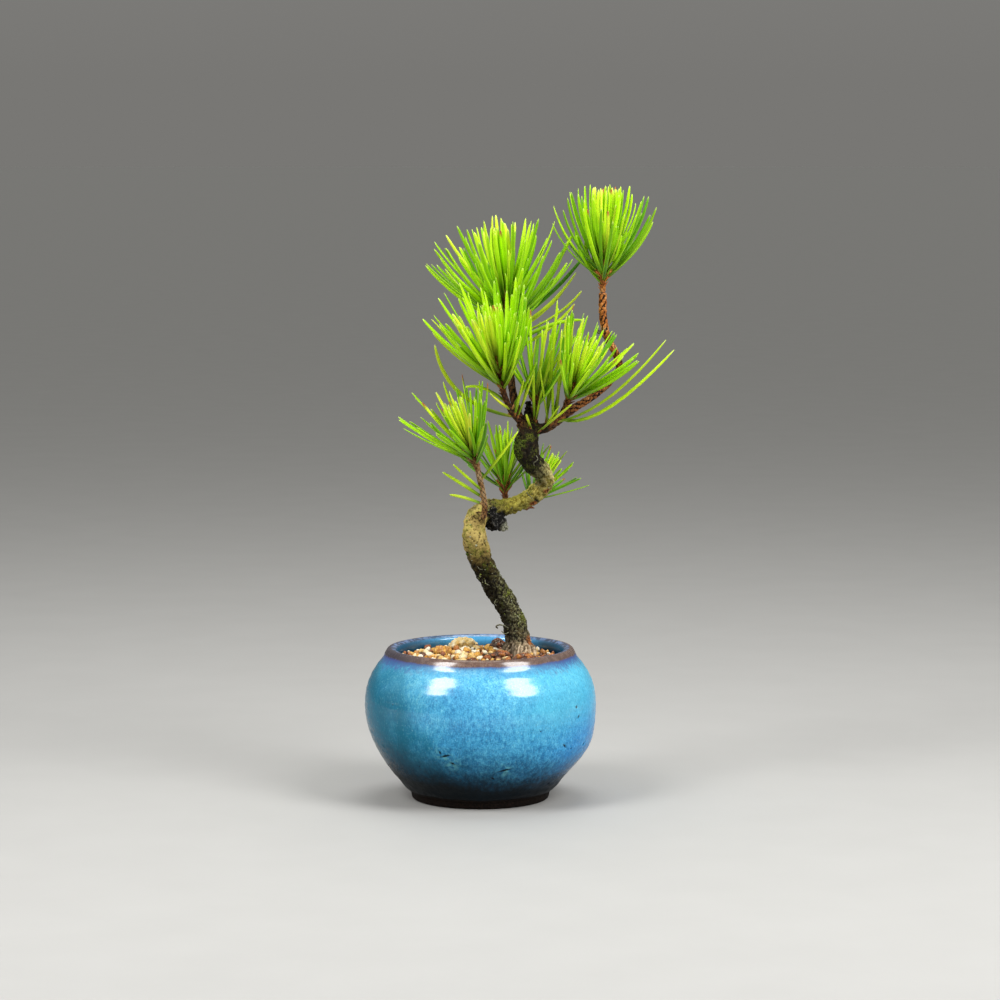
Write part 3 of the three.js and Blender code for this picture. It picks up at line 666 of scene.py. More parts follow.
def grit_grains(finish):
    """Each grain is a rounded block with its edges halved, knobbly, turned and painted darker below as painted
    shade.
    """
    draw = draws_from(907)
    bm = bmesh.new()
    bmesh.ops.create_cube(bm, size=2)
    bmesh.ops.subdivide_edges(bm, edges=bm.edges, cuts=1, use_grid_fill=True)
    stamp = Stamp(bm)
    block, round_block = stamp.at, unit_rows(stamp.at)
    bm, tints, painted_shade = bmesh.new(), [], []
    for i in range(GRAINS):
        size = lerp(0.8, 2.2, draw() ** 1.8)
        radius = (MOUTH_RADIUS + 1 - size) * math.sqrt((i + 0.5) / GRAINS)
        angle = i * GOLDEN_ANGLE
        place = Vector((radius * math.cos(angle) + draw() - 0.5, radius * math.sin(angle) + draw() - 0.5, 0))
        place.z = ground_height(radius) + BED_THICKNESS - 1 + draw() * 1.9 + size * 0.12
        if (place - ROOT_PLACE).to_2d().length < ROOM_FOR_TRUNK:
            continue
        if any(math.hypot(place.x - x, place.y - y) < reach * 0.8 for _, _, (x, y), reach, _, _ in STONES):
            continue
        turns = [Matrix.Rotation(draw() * math.tau, 3, axis) for axis in "XYZ"]
        sizes = np.array([1.15, lerp(0.75, 1, draw()), lerp(0.55, 0.85, draw())]) * size
        knobs = np.array([lerp(0.8, 1.12, draw()) for _ in block])[:, None]
        shape = (round_block * 0.85 + block * 0.15 * lerp(0.6, 1, draw())) * knobs * sizes
        shape = shape @ np.array(turns[0] @ turns[1] @ turns[2]).T
        # The underside of each grain is painted darker, as painted shade
        painted_shade += list(np.clip(0.6 - 1.5 * shape[:, 2] / size, 0, 1))
        shape += np.array(place)
        stamp.set_into(bm, shape)
        tints += [grain_tint(place, draw)] * len(block)
    stamp.remove()
    piece("grit_grains", bm, finish, ["grit"], {"tint": tints, "painted_shade": painted_shade})


# The larger stones: the piece, the solid it stands for, its place and reach, its tint and how rough it is
STONES = [
    ("cream_pebble", "stone_cream", (-7.5, 23), 5.2, 0.76, 0.5),
    ("brown_lump", "stone_brown", (6.6, 20.5), 3.3, 0.12, 0.7),
    ("amber_chip_left", "stone_amber_left", (8, -4.6), 3.6, 0.24, 0.45),
    ("amber_chip_right", "stone_amber_right", (17.2, -7.4), 3.9, 0.27, 0.45),
    ("ochre_pebble", "stone_ochre", (-15.5, 8), 4.1, 0.48, 0.6),
]


def stone(name, node, tint, lump, finish):
    """A packed stone with its surface broken up by noise and ledges, painted darker low down and in its hollows
    as painted shade.
    """
    bm = cad_copy(node)
    bmesh.ops.subdivide_edges(bm, edges=bm.edges, cuts=4, smooth=0.8, use_grid_fill=True)
    bm.normal_update()
    moves, tints, painted_shade = [], [], []
    middle = sum((vert.co for vert in bm.verts), Vector()) / len(bm.verts)
    for vert in bm.verts:
        rough = noise.noise(vert.co * 0.5) + 0.7 * noise.noise(vert.co * 1.1)
        rough += 0.45 * noise.noise(vert.co * 2.3)
        ledge = smooth(noise.noise(vert.co * 0.7 + Vector((5, 2, 9))), 0.02, 0.12)
        moves.append(vert.normal * lump * (rough - 0.5 * ledge))
        tints.append(tint + 0.24 * noise.noise(vert.co * 0.5) - 0.09 * ledge)
        # Painted shade, darker low on the stone and in its hollows
        painted_shade.append(clamped(0.35 - 0.35 * (vert.co.z - middle.z) - 0.5 * rough))
    for vert, move in zip(bm.verts, moves):
        vert.co += move
    piece(name, bm, finish, [node], {"tint": tints, "painted_shade": painted_shade})


# The wood, each limb a list of [x, y, z, radius]
TRUNK = [
    [15.5, 5, 36, 2.9], [15.5, 5, 47, 4.4], [15.5, 5, 55, 6.4], [15.2, 5.4, 60, 5.3], [14.5, 6, 64.5, 4.9],
    [12.5, 7, 72, 4.5], [8, 7, 80, 4.4], [4, 5, 87, 4.3], [0.5, 2, 94, 4.6], [-1.6, -1, 101, 4.9],
    [-2.5, -2, 107.5, 4.5], [-0.8, 1, 112.8, 4.1], [4, 5.6, 114.4, 4], [10, 8.2, 115, 3.3],
    [15.6, 8, 117, 3.1], [21.4, 6, 120.4, 3.5], [25.4, 3, 125, 3.5], [24.4, 0, 129.6, 3.6],
    [20.5, -3, 134.2, 4.3],
    [18, -4, 139.5, 4.7], [19, -2.4, 144.5, 4.2], [21, -0.4, 148, 2.6],
]
TRUNK_LENGTH = 145
# How far below its own length a point of the trunk's foot lies, as the trunk starts under the soil
BURIED = 36
TOP_TWIG = [
    [21, -0.4, 146.6, 2.4], [26, 0.4, 147.4, 2], [31, 1.8, 150.5, 1.8], [37.5, 4.5, 155, 1.6],
    [44, 7.2, 158.8, 1.5], [50.5, 9, 164.2, 1.5], [55, 9.2, 170, 1.45], [53.6, 8.8, 176, 1.45],
    [50.2, 8, 182.5, 1.5], [48.5, 7.2, 190.5, 1.6], [48.3, 6.6, 200, 1.6],
]
UPPER_LEFT_BRANCH = [
    [18.8, -0.6, 146, 2.3], [15.2, 2.2, 151.6, 1.8], [13, 5, 160, 1.6], [11.8, 7.5, 169, 1.5],
]
FRONT_LEFT_COLLAR = [[19, -2.6, 145, 2.2], [15.6, -3.6, 149.8, 1.9]]
RIGHT_COLLAR = [[24.8, 0, 147.2, 1.7], [27.4, -2.6, 148.6, 1.5]]
CROWN_COLLAR = [[21, -0.4, 146, 2], [21.4, 0.4, 150.6, 1.5]]
LOW_LEFT_COLLAR = [[-1.8, -1, 108.6, 2], [1, -6.2, 112.6, 1.4]]
BACK_COLLAR = [[9.6, 8, 115, 1.8], [9.9, 12.4, 116.6, 1.4]]
BACK_RIGHT_COLLAR = [[16, 7.6, 116.6, 1.8], [17.8, 12, 114.8, 1.4]]
DEAD_BURL = [[1.6, 4.6, 112.6, 3.4], [4.6, 4.4, 110.6, 3.9], [8, 3.8, 108.8, 2.8], [9.8, 3.4, 106.6, 1.3]]
DEAD_STUB = [[20, 0.6, 147, 1.9], [18.9, 3, 153, 1.5], [19.2, 3.8, 157.4, 1.1]]
DEAD_SPUR = [[50.4, 8, 182, 1.1], [47.6, 8.4, 184.4, 0.8], [45.2, 8.6, 184.8, 0.6]]
TWIGS = [
    TOP_TWIG, UPPER_LEFT_BRANCH, FRONT_LEFT_COLLAR, RIGHT_COLLAR, CROWN_COLLAR, LOW_LEFT_COLLAR, BACK_COLLAR,
    BACK_RIGHT_COLLAR,
]
DEAD = [DEAD_BURL, DEAD_STUB, DEAD_SPUR]
# Surface roots: the way each one runs out from the trunk, in radians, and how far
SURFACE_ROOTS = [(-2.7, 6), (-1.7, 6.4), (-0.5, 5.8), (0.6, 6.2), (1.9, 6), (3, 6.2)]
WOOD_VOXEL = 0.34
LIMB_STEP = 0.5


class Line:
    """A smooth line through [x, y, z, radius] points as even stations, with a frame that turns along it."""

    def __init__(self, points, step):
        knots = [np.array(point, float) for point in points]
        knots = [2 * knots[0] - knots[1], *knots, 2 * knots[-1] - knots[-2]]
        share = np.linspace(0, 1, 24, endpoint=False)[:, None]
        dense = []
        for p0, p1, p2, p3 in zip(knots, knots[1:], knots[2:], knots[3:]):
            d0, d1, d2 = [
                max(np.linalg.norm((b - a)[:3]), 1e-6) ** 0.5 for a, b in ((p0, p1), (p1, p2), (p2, p3))
            ]
            m1 = ((p1 - p0) / d0 - (p2 - p0) / (d0 + d1) + (p2 - p1) / d1) * d1
            m2 = ((p2 - p1) / d1 - (p3 - p1) / (d1 + d2) + (p3 - p2) / d2) * d1
            cubes, squares = share ** 3, share ** 2
            dense.append(
                (2 * cubes - 3 * squares + 1) * p1 + (cubes - 2 * squares + share) * m1
                + (3 * squares - 2 * cubes) * p2 + (cubes - squares) * m2
            )
        dense = np.vstack([*dense, knots[-2]])
        gone = np.concatenate([[0], np.cumsum(np.linalg.norm(np.diff(dense[:, :3], axis=0), axis=1))])
        self.count = max(math.ceil(gone[-1] / step) + 1, 3)
        self.run = np.linspace(0, gone[-1], self.count)
        even = np.array([np.interp(self.run, gone, dense[:, i]) for i in range(4)]).T
        self.centre, self.radius = even[:, :3], even[:, 3]
        self.tangent = unit_rows(np.gradient(self.centre, axis=0))
        normal = np.cross(self.tangent[0], (0.3, 1, 0.2))
        self.normal = []
        for direction in self.tangent:
            normal = unit(normal - direction * normal.dot(direction))
            self.normal.append(normal)
        self.normal = np.array(self.normal)
        self.binormal = np.cross(self.tangent, self.normal)

    def out(self, i, turn):
        """The way out from a station, square to the line, at a turn about it."""
        return self.normal[i] * math.cos(turn) + self.binormal[i] * math.sin(turn)


def unit_tube(bm, sides, rings):
    """Adds a closed straight tube about Z, of radius 1 and length 1, and returns its vertices."""
    first = len(bm.verts)
    ends = bmesh.ops.create_cone(bm, cap_ends=True, segments=sides, radius1=1, radius2=1, depth=1)["verts"]
    lengthwise = [
        edge for vert in ends if vert.co.z < 0 for edge in vert.link_edges if edge.other_vert(vert).co.z > 0
    ]
    bmesh.ops.subdivide_edges(bm, edges=lengthwise, cuts=rings - 2)
    bm.verts.ensure_lookup_table()
    return bm.verts[first:]


def add_tube(bm, line, sides, radius_at=None):
    """Adds a closed tube around a line. radius_at(station, turn) may shape its wall."""
    tube = unit_tube(bm, sides, line.count)
    for vert in tube:
        i, turn = round((vert.co.z + 0.5) * (line.count - 1)), math.atan2(vert.co.y, vert.co.x)
        radius = radius_at(i, turn) if radius_at else line.radius[i]
        vert.co = Vector(line.centre[i] + line.out(i, turn) * radius)
    return tube


def fused(bm, voxel):
    """The closed shapes in a bmesh as one skin."""
    loose = mesh_of(bm, "unfused")
    holder = in_scene("unfused", loose)
    skin = holder.modifiers.new("skin", "REMESH")
    skin.mode, skin.voxel_size = "VOXEL", voxel
    graph = bpy.context.evaluated_depsgraph_get()
    mesh = bpy.data.meshes.new_from_object(holder.evaluated_get(graph))
    made = bmesh.new()
    made.from_mesh(mesh)
    bpy.data.objects.remove(holder)
    for used in (loose, mesh):
        bpy.data.meshes.remove(used)
    return made


LEAF_SPIRALS = 4
# The height that the low twigs stay under
LOW_TWIGS = 114


def scale_relief(turn, run, pitch=3.2):
    """Leaf bases in two crossing spirals: 0 in the gaps between them, 1 on top of each."""
    spiral, climb = turn * LEAF_SPIRALS / math.tau, run / pitch
    return (abs(math.sin(math.pi * (spiral + climb))) * abs(math.sin(math.pi * (spiral - climb)))) ** 0.6


# Patches on the wood, each a place and its reach, and knots, each with its height too
MOSSY = [((14.6, -6.8, 141.2), 4.4), ((14.8, -7.4, 136.8), 2.2), ((-6.2, -3, 97), 1.8)]
AMBER = [((20, 3.4, 62), 3), ((21, 4.6, 117), 1.8), ((26.2, 1, 122.2), 1.5), ((20.4, -0.6, 61), 2)]
KNOTS = [
    ((23.4, 2.2, 118.6), 1.7, 0.7), ((-5.2, -3.8, 104.4), 1.4, 0.25), ((13.4, 1.8, 70.6), 1.5, 0.4),
    ((3.2, -1.6, 96), 1.6, 0.6), ((-3.8, -1.8, 92.6), 1.8, 0.55), ((24, -1, 127), 1.6, 0.6),
    ((16.2, -5.4, 131.6), 1.8, 0.6),
]
# Where the black burl ends in a pale crumbly stub
CRUMBLY = Vector((10.4, 2.6, 107.2))
CHARRED = [((4.4, 1.2, 113.4), 4.2), ((8.4, 4.6, 111.8), 2.8), ((22.4, 3, 118.5), 1.3)]
# Curled fibres that stand off the bark: their points and radius
FIBRES = [
    ([[11.2, 2.2, 67.2], [9.2, 0.9, 68.6], [7.4, 0.6, 68.9], [6.2, 1.2, 68.1], [6.9, 1.9, 67.4]], 0.3),
    ([[11.4, 2.6, 65.6], [9.6, 1.4, 65.2], [8.4, 1.6, 66.3]], 0.2),
    ([[-2.6, -1.2, 94.4], [-1.4, -2.4, 93], [-0.2, -2.6, 91.6], [1, -1.8, 91.4]], 0.17),
    ([[1.8, 0.2, 87], [2.2, -0.6, 85.6], [3.6, -0.2, 84.8]], 0.16),
    ([[6.4, 2.4, 79], [5.6, 1.6, 77.4], [6.6, 1.6, 76.2]], 0.15),
    ([[18.6, 2.2, 121], [19.6, 1, 120.2], [20.6, 1.2, 119]], 0.16),
    (
        [
            [21.7, -6.9, 137.4], [22.6, -7.3, 135.6], [20.9, -7.4, 133.8], [22.1, -6.4, 132.4],
            [22.7, -4.9, 131],
        ],
        0.2,
    ),
]


def patch(place, patches):
    ragged = 0.75 + 0.5 * noise.noise(place * 0.7)
    edges = ((reach * 1.1 * ragged + 0.6, reach * 0.6 * ragged) for _, reach in patches)
    return max(smooth((place - Vector(at)).length, *edge) for (at, _), edge in zip(patches, edges))


def fissures(place, width):
    """1 in thin winding cracks and 0 between them."""
    return 1 - smooth(abs(noise.noise(place)), 0, width)


BURL_LUMPS = 11
# The share of the bark's points that carry a flake of lichen
LICHEN = 0.016


def wood_limbs():
    """Every limb of the tree as its kind and its line."""
    limbs = [("trunk", Line(TRUNK, LIMB_STEP))]
    limbs += [("twig", Line(twig, LIMB_STEP)) for twig in TWIGS]
    limbs += [(kind, Line(stub, LIMB_STEP)) for kind, stub in zip(("burl", "stub", "spur"), DEAD)]
    for turn, reach in SURFACE_ROOTS:
        way = (math.cos(turn), math.sin(turn))
        out = [(ROOT_PLACE.x + way[0] * far, ROOT_PLACE.y + way[1] * far) for far in (0, 4.4, reach)]
        points = [[*out[0], 62, 2.2], [*out[1], 58.8, 2.1], [*out[2], 54, 1.6]]
        limbs.append(("root", Line(points, LIMB_STEP)))
    return limbs


def smooth_wood(limbs, draw):
    """The limbs and the burl's lumps as one skin, still without bark."""
    bm = bmesh.new()
    for kind, line in limbs:
        add_tube(bm, line, 28 if kind == "trunk" else 16)
    burl = dict(limbs)["burl"]
    for i in range(BURL_LUMPS):
        station = round(lerp(1, burl.count - 1, (i + 0.5) / BURL_LUMPS))
        out = burl.out(station, i * GOLDEN_ANGLE)
        knob = Vector(burl.centre[station] + out * burl.radius[station] * lerp(0.4, 0.85, draw()))
        sizes = [lerp(0.3, 0.8, draw()) * burl.radius[station] + 0.3 for _ in range(3)]
        matrix = Matrix.LocRotScale(knob, Vector(out).to_track_quat("Z", "Y"), sizes)
        bmesh.ops.create_icosphere(bm, subdivisions=2, radius=1, matrix=matrix)
    bm = fused(bm, WOOD_VOXEL)
    for _ in range(2):
        every_way = {"use_axis_x": True, "use_axis_y": True, "use_axis_z": True}
        bmesh.ops.smooth_vert(bm, verts=bm.verts, factor=0.5, **every_way)
    bm.normal_update()
    return bm


def owner_of(limbs):
    """A function that tells which limb a place on the skin belongs to: its kind, its line and the station."""
    owners = [(kind, line, i) for kind, line in limbs for i in range(line.count)]
    tree = kdtree.KDTree(len(owners))
    for index, (_, line, i) in enumerate(owners):
        tree.insert(line.centre[i], index)
    tree.balance()

    def depth(found):
        _, line, i = owners[found[1]]
        return found[2] - line.radius[i]

    return lambda place: owners[min(tree.find_n(place, 8), key=depth)[1]]


def trunk_roughness(run):
    """Rough low down and in the branch, nearly smooth in the olive bend."""
    return 1 - 0.8 * smooth(run, 58, 66) + 0.62 * smooth(run, 80, 90)


def trunk_bark(vert, turn, run, fine):
    """How far the trunk's bark stands out at a vertex, and the values that its finish is told there."""
    place, out = vert.co, vert.normal
    rough = trunk_roughness(run)
    flat = Vector((math.cos(turn) * 4.2, math.sin(turn) * 4.2, run * 0.5))
    flat += Vector((0.6, 0.6, 0.3)) * noise.noise(flat * 0.5)
    deep = max(fissures(flat / 2.6, 0.11), 0.7 * fissures(flat / 1.2 + Vector((9, 3, 5)), 0.12))
    broad = noise.noise(place * 0.28)
    knobbly = smooth(run, 86, 94) * smooth(run, 128, 120) + 0.8 * smooth(run, 60, 64) * smooth(run, 74, 68)
    lumps = knobbly * (abs(noise.noise(place * 0.45)) * 0.8 - 0.18)
    move = rough * (-0.42 * deep + 0.34 * fine) + 0.6 * broad + 0.14 * fine + lumps
    folds, fold = smooth(place.z, 66, 59), math.sin(turn * 9 + 3 * noise.noise(place * 0.22))
    move += folds * 0.55 * fold
    groove = folds * (0.5 - 0.5 * fold)
    relief = clamped(0.74 + 0.6 * fine - 0.8 * deep * rough * (1 - 0.7 * folds) - groove * 0.3 + 0.4 * lumps)

    # Painted shade: the trunk's underside, and low down its left side, are painted darker.
    lower, branch = smooth(run, 64, 56), smooth(run, 84, 92)
    down = -0.8 * out.z - 0.62 * out.x * lower
    under = smooth(down + 0.3 * fine + max(0.18 * lower, 0.04 * branch), -0.1, 0.5) * smooth(place.z, 60, 66)
    under *= lerp(1, 0.6, smooth(run, 60, 68) - 0.3 * branch)
    shaded = smooth(-out.x + 0.5 * broad + 0.3 * fine, 0.1, 0.7) * smooth(place.z, 70, 64)
    moss, charred = patch(place, MOSSY), patch(place, CHARRED)
    dead = charred
    for middle, reach, height in KNOTS:
        knob = smooth((place - Vector(middle)).length, reach * 1.4, reach * 0.3)
        move += knob * height
        dead = max(dead, knob * 0.35)
    move += moss * 0.35 * abs(noise.noise(place * 1.6))
    move += charred * (0.5 * noise.noise(place * 0.9) + 0.3 * noise.noise(place * 2))
    return move, {
        "relief": relief, "run": run, "under": max(under, 0.8 * shaded), "moss": moss,
        "amber": patch(place, AMBER), "dead": dead,
    }


def twig_bark(vert, turn, run, fine):
    """The same for a young twig with leaf bases on it."""
    place = vert.co
    wander, low = noise.noise(place * 0.55), place.z < LOW_TWIGS
    scale, grown = scale_relief(turn + 1.1 * wander, run + 1.3 * wander), smooth(run + 2 * fine, 2.5, 6)
    lit = 0.4 * smooth(place.x, 28, 40) + 0.5 * smooth(place.z, 172, 180) * smooth(place.x, 30, 44)
    return grown * 0.3 * (scale - 0.62) + 0.12 * fine, {
        "relief": clamped(lerp(0.7, scale * 0.85, grown) + fine * 0.3),
        "twig": grown * (0.45 if low else 1),
        "run": 72 if low else 138,
        "shade": clamped(0.85 - lit + 0.3 * fine),
    }


def dead_bark(vert, kind, fine):
    """The same for dead wood, which is jagged."""
    jagged = abs(noise.noise(vert.co * 0.8)) - 0.25
    return 0.9 * jagged + 0.5 * noise.noise(vert.co * 1.7), {
        "relief": clamped(0.5 + fine), "dead": 0.2 if kind == "stub" else 1, "run": 140,
        "shade": 0.7 if kind == "spur" else smooth((vert.co - CRUMBLY).length, 3.4, 1.2),
    }


def crumb_tint(place, run, told, draw):
    """The tint of the crumb that grows at a place on the trunk, low for moss and high for lichen, or None."""
    if draw() < 0.3 * smooth(told["moss"], 0.2, 0.8):
        return lerp(0, 0.5, draw())
    flaky = LICHEN * smooth(run, 28, 34) * lerp(1, 0.25, smooth(run, 56, 64)) * smooth(run, 132, 120)
    if draw() < flaky * (1 + 2 * noise.noise(place * 0.35)) * (1 - 0.7 * told["under"]):
        return lerp(0.5, 0.92, draw())
    return None


# What the bark's finish is told at each vertex, and what it is told of the fibres
BARK_VALUES = ("relief", "run", "twig", "dead", "under", "moss", "amber", "shade")
FIBRE_BARK = {"relief": 1, "run": 40, "dead": 0.55, "shade": 0.8}


def wood():
    """Trunk, branches and roots as one skin, with bark raised on it. Returns the crumbs of moss and lichen
    that grow on it, each as its place, the way out and its tint."""
    limbs, draw = wood_limbs(), draws_from(211)
    bm, owner = smooth_wood(limbs, draw), owner_of(limbs)
    rows, moves, crumbs = [], [], []
    for vert in bm.verts:
        kind, line, i = owner(vert.co)
        gap = np.array(vert.co) - line.centre[i]
        turn = math.atan2(gap.dot(line.binormal[i]), gap.dot(line.normal[i]))
        run = line.run[i] + gap.dot(line.tangent[i])
        fine = noise.fractal(vert.co * 0.9, 1, 2, 3)
        if kind in ("trunk", "root"):
            run = vert.co.z - BURIED if kind == "root" else run
            move, told = trunk_bark(vert, turn, run, fine)
            tint = crumb_tint(vert.co, run, told, draw)
            if tint is not None:
                crumbs.append((vert.co.copy(), vert.normal.copy(), tint))
        elif kind == "twig":
            move, told = twig_bark(vert, turn, run, fine)
        else:
            move, told = dead_bark(vert, kind, fine)
        rows.append(told)
        moves.append(vert.normal * move)
    for vert, move in zip(bm.verts, moves):
        vert.co += move
    for points, radius in FIBRES:
        added = add_tube(bm, Line([[*point, radius] for point in points], LIMB_STEP), 6)
        rows += [FIBRE_BARK] * len(added)
    values = {name: [told.get(name, 0) for told in rows] for name in BARK_VALUES}
    piece("wood", bm, bark_finish(), ["trunk"], values)
    return crumbs


def moss_and_lichen(crumbs):
    """Crumbs of moss and flakes of lichen on the bark, each told by its place, the way out and its tint."""
    draw = draws_from(613)
    bm = bmesh.new()
    bmesh.ops.create_icosphere(bm, subdivisions=1, radius=1)
    stamp = Stamp(bm)
    bm, tints = bmesh.new(), []
    for place, out, tint in crumbs:
        size = lerp(0.2, 0.5, draw() ** 1.4)
        knobs = np.array([lerp(0.7, 1.3, draw()) for _ in stamp.at])[:, None]
        sizes = np.array([size, size * lerp(0.5, 1, draw()), size * lerp(0.4, 0.8, draw())])
        shape = stamp.at * knobs * sizes
        shape = shape @ np.array(out.to_track_quat("Z", "Y").to_matrix()).T + np.array(place + out * 0.12)
        stamp.set_into(bm, shape)
        tints += [tint] * len(stamp.at)
    stamp.remove()
    piece("moss_and_lichen", bm, moss_finish(), (), {"tint": tints})
# The sprays
STEM_RADIUS = 1.25
SHOOT_RADIUS = 1.35
BUD_TIP_RADIUS = 0.5
CLEARANCE = 0.3
SEAT_STRAIGHT = 1.2
NEEDLE_RADIUS = 0.78
NEEDLE_APART = 0.45
INNER_SPLAY = 8
SPLAY_SPREAD = 1.3
SPLAY_JITTER = 5
LENGTH_JITTER = 0.08
TIP_SHORTENING = 0.34
ROOT_SHARE = 0.5
# What a needle tries next when it would touch something: more turn about the shoot, more splay, in degrees
SIDESTEPS = [
    (0, 0), (14, 0), (-14, 0), (0, -12), (28, -6), (-28, -6), (0, 14), (44, -14), (-44, -14), (70, -20),
    (-70, -20),
]
LOWEST_RISE = 14
# How many more short needles stand close round a bud, and their least length, as a share
TUFT = (15, 0.64)
# branch is the limb that a spray grows from and stem the points of its own stem. lean is the way the shoot
# points, shoot and bud are lengths along it, splay is the angle of the lowest needles, bow is how far a
# needle bows outwards for its length, wide is how wide its needles are, lime how bright they are, and shade
# how dark its shoot is. lone lists old needles that stand by themselves, each as its root, its tip and its
# bow. settled gives the first of them as they really lie, each from its root through its middle to its tip.
# crowded is 1 or -1 where the spray grows against its neighbour to the right or left, and rise is the least
# rise of its needles over the level, in degrees. A closed spray has needles before its bud, and droop is how
# many degrees further out its lowest needles hang.
Spray = namedtuple(
    "Spray",
    "name seed branch stem lean shoot bud needles splay length bow wide lime shade"
    " lone settled crowded rise closed droop tuft",
    defaults=((), (), 0, LOWEST_RISE, False, 0, TUFT),
)
SPRAYS = [
    Spray(
        "front_left", 11, FRONT_LEFT_COLLAR, [[12.6, -5, 153.6], [10.4, -6.8, 158.4], [9, -8.2, 162.6]],
        [-0.14, -0.5, 0.85], 14, 6, 60, 50, 41, 0.06, 1.75, 0.66, 0.95, crowded=1, rise=40,
        lone=[
            [[13.6, -4.6, 152.2], [-18.6, -12, 182], [-6, 2, -9]],
            [[12, -5.6, 155], [4, -12, 161.5], [0, 0, -1]],
            [[10.8, -6.4, 157.6], [-7.2, -14, 165], [0, 0, 2.4]],
        ],
        settled=[[[13.6, -4.6, 152.2], [-7.5, -6.3, 162.2], [-19.2, -12, 182.4]]],
    ),
    Spray(
        "right", 23, RIGHT_COLLAR, [[31, -3.6, 151.6], [34.2, -5, 157.6]],
        [0.34, -0.45, 0.83], 8, 6, 46, 54, 36, 0.06, 1.36, 0.6, 0.8, crowded=-1, rise=33,
        lone=[
            [[29.6, -3.4, 149.8], [71.6, -12, 182.6], [5, -2.5, -7]],
            [[31, -3.8, 151.4], [75.2, -6, 178.8], [5, -2, -8]],
        ],
        settled=[
            [[29.6, -3.4, 149.8], [50.1, -10.2, 160.2], [72.9, -12, 183]],
            [[31, -3.8, 151.4], [48.9, -6.9, 155.9], [76.6, -6, 178.9]],
        ],
    ),
    Spray(
        "low_left", 37, LOW_LEFT_COLLAR,
        [[1.8, -8, 117.6], [1.2, -8.8, 122], [-0.2, -10, 128.4], [-1.2, -11, 133]],
        [-0.32, -0.42, 0.85], 9, 5, 40, 56, 35, 0.03, 1.36, 0.6, 0.25, crowded=1, rise=30,
        lone=[
            [[1.4, -8.6, 120.4], [-12.8, -13, 121.6], [0, 0, 0.8]],
            [[1, -9, 123], [-14.8, -12, 130.4], [0, 0, 0.6]],
            [[0.4, -9.4, 126], [-10.2, -16, 133.2], [0, 0, 0]],
            [[0, -9.8, 128], [14, -13, 147.6], [0, 0, 0]],
        ],
        settled=[
            [[1.6, -8.1, 117.9], [-5.7, -10.7, 120.5], [-13.3, -13, 122.6]],
            [[1.4, -8.5, 120.4], [-6.3, -10.4, 125.5], [-14.3, -12, 130.7]],
            [[1, -9, 123.2], [-4.6, -12.5, 128.6], [-10.5, -16, 134.4]],
            [[0.4, -9.8, 127.6], [8.2, -11.4, 137.9], [16.2, -13, 148.8]],
        ],
    ),
    Spray(
        "top", 41, TOP_TWIG, [[48.3, 6.4, 203]],
        [0.03, -0.06, 1], 16, 8, 60, 36, 34.4, 0.11, 1.5, 0.53, 0.3, closed=True, droop=4, tuft=(24, 0.72),
    ),
    Spray(
        "upper_left", 53, UPPER_LEFT_BRANCH, [[11, 9, 178], [10.4, 10.2, 184.6]],
        [-0.06, 0.04, 1], 16, 7, 66, 55, 42, 0.07, 1.7, 0.58, 0.8, closed=True,
        lone=[
            [[11, 8.8, 178.4], [42.4, 2, 190.4], [0, 0, 2.6]],
            [[10.8, 9, 181.6], [42, 6, 202], [2, 0, -1.6]],
            [[10.6, 9.4, 184.4], [39, 14, 208.6], [1, 0, -2]],
            [[11.2, 8.6, 176.4], [37.6, 10, 196], [1.6, 0, -1]],
            [[10.6, 9.2, 183], [33.4, 20, 200.6], [1, 1, -1]],
        ],
    ),
    Spray("crown", 67, CROWN_COLLAR, [[21.6, 1, 154]], [0.06, 0, 1], 9, 0, 24, 46, 37, 0.03, 1.3, 0.46, 0.95),
    Spray(
        "back", 79, BACK_COLLAR, [[9.8, 14.8, 119]],
        [-0.06, 0.3, 0.95], 9, 4, 26, 50, 29, 0.02, 1.2, 0.3, 0.7, closed=True,
    ),
    Spray(
        "back_right", 83, BACK_RIGHT_COLLAR, [[19.2, 15, 115]],
        [0.46, 0.3, 0.84], 8, 3, 20, 48, 25, 0.02, 1.2, 0.36, 0.7,
    ),
]


# Old needles that stand up between the crown's branches, each from its root to its tip
CROWN_NEEDLES = [
    [[22.6, -4, 145.6], [36.6, -12, 158.1]], [[20.2, -4.2, 146.5], [17.5, -9, 154.8]],
    [[13.6, -5.2, 152.4], [17.1, -10, 167.3]], [[14.6, -4.6, 151.4], [21.2, -9, 169.8]],
    [[12.3, -6, 155], [21.7, -11, 173.5]], [[21.6, -0.6, 149.8], [21.1, -8, 170.3]],
    [[27, -2.6, 149], [23.4, -9, 172.4]], [[28.6, -3.2, 150], [28.4, -7, 164.4]],
    [[25, -1.8, 147], [31.7, -9, 158.0]], [[26, -1.2, 148.6], [30.3, -8, 199.1]],
    [[25.4, -0.4, 148.2], [36.5, -8, 196.3]], [[22.3, 0.2, 158.4], [25.3, -7, 185.4]],
    [[22, -0.8, 149.4], [24.3, -8, 162.3]], [[21.4, 0.2, 158.2], [26.8, -7, 189.5]],
    [[29.6, -3.2, 150.6], [32.0, -6, 187.0]], [[22.3, 0.2, 155.8], [28.6, -9, 181.0]],
    [[15.2, 2.2, 151.6], [22, 5, 182.8]], [[22, 1, 158.5], [30.9, 0, 194.8]],
    [[26, 0.4, 147.6], [27.6, 6, 185]], [[28.5, 1.2, 149], [36.6, 8, 186]],
    [[22, 1, 158.8], [34.6, 12, 182.3]],
]


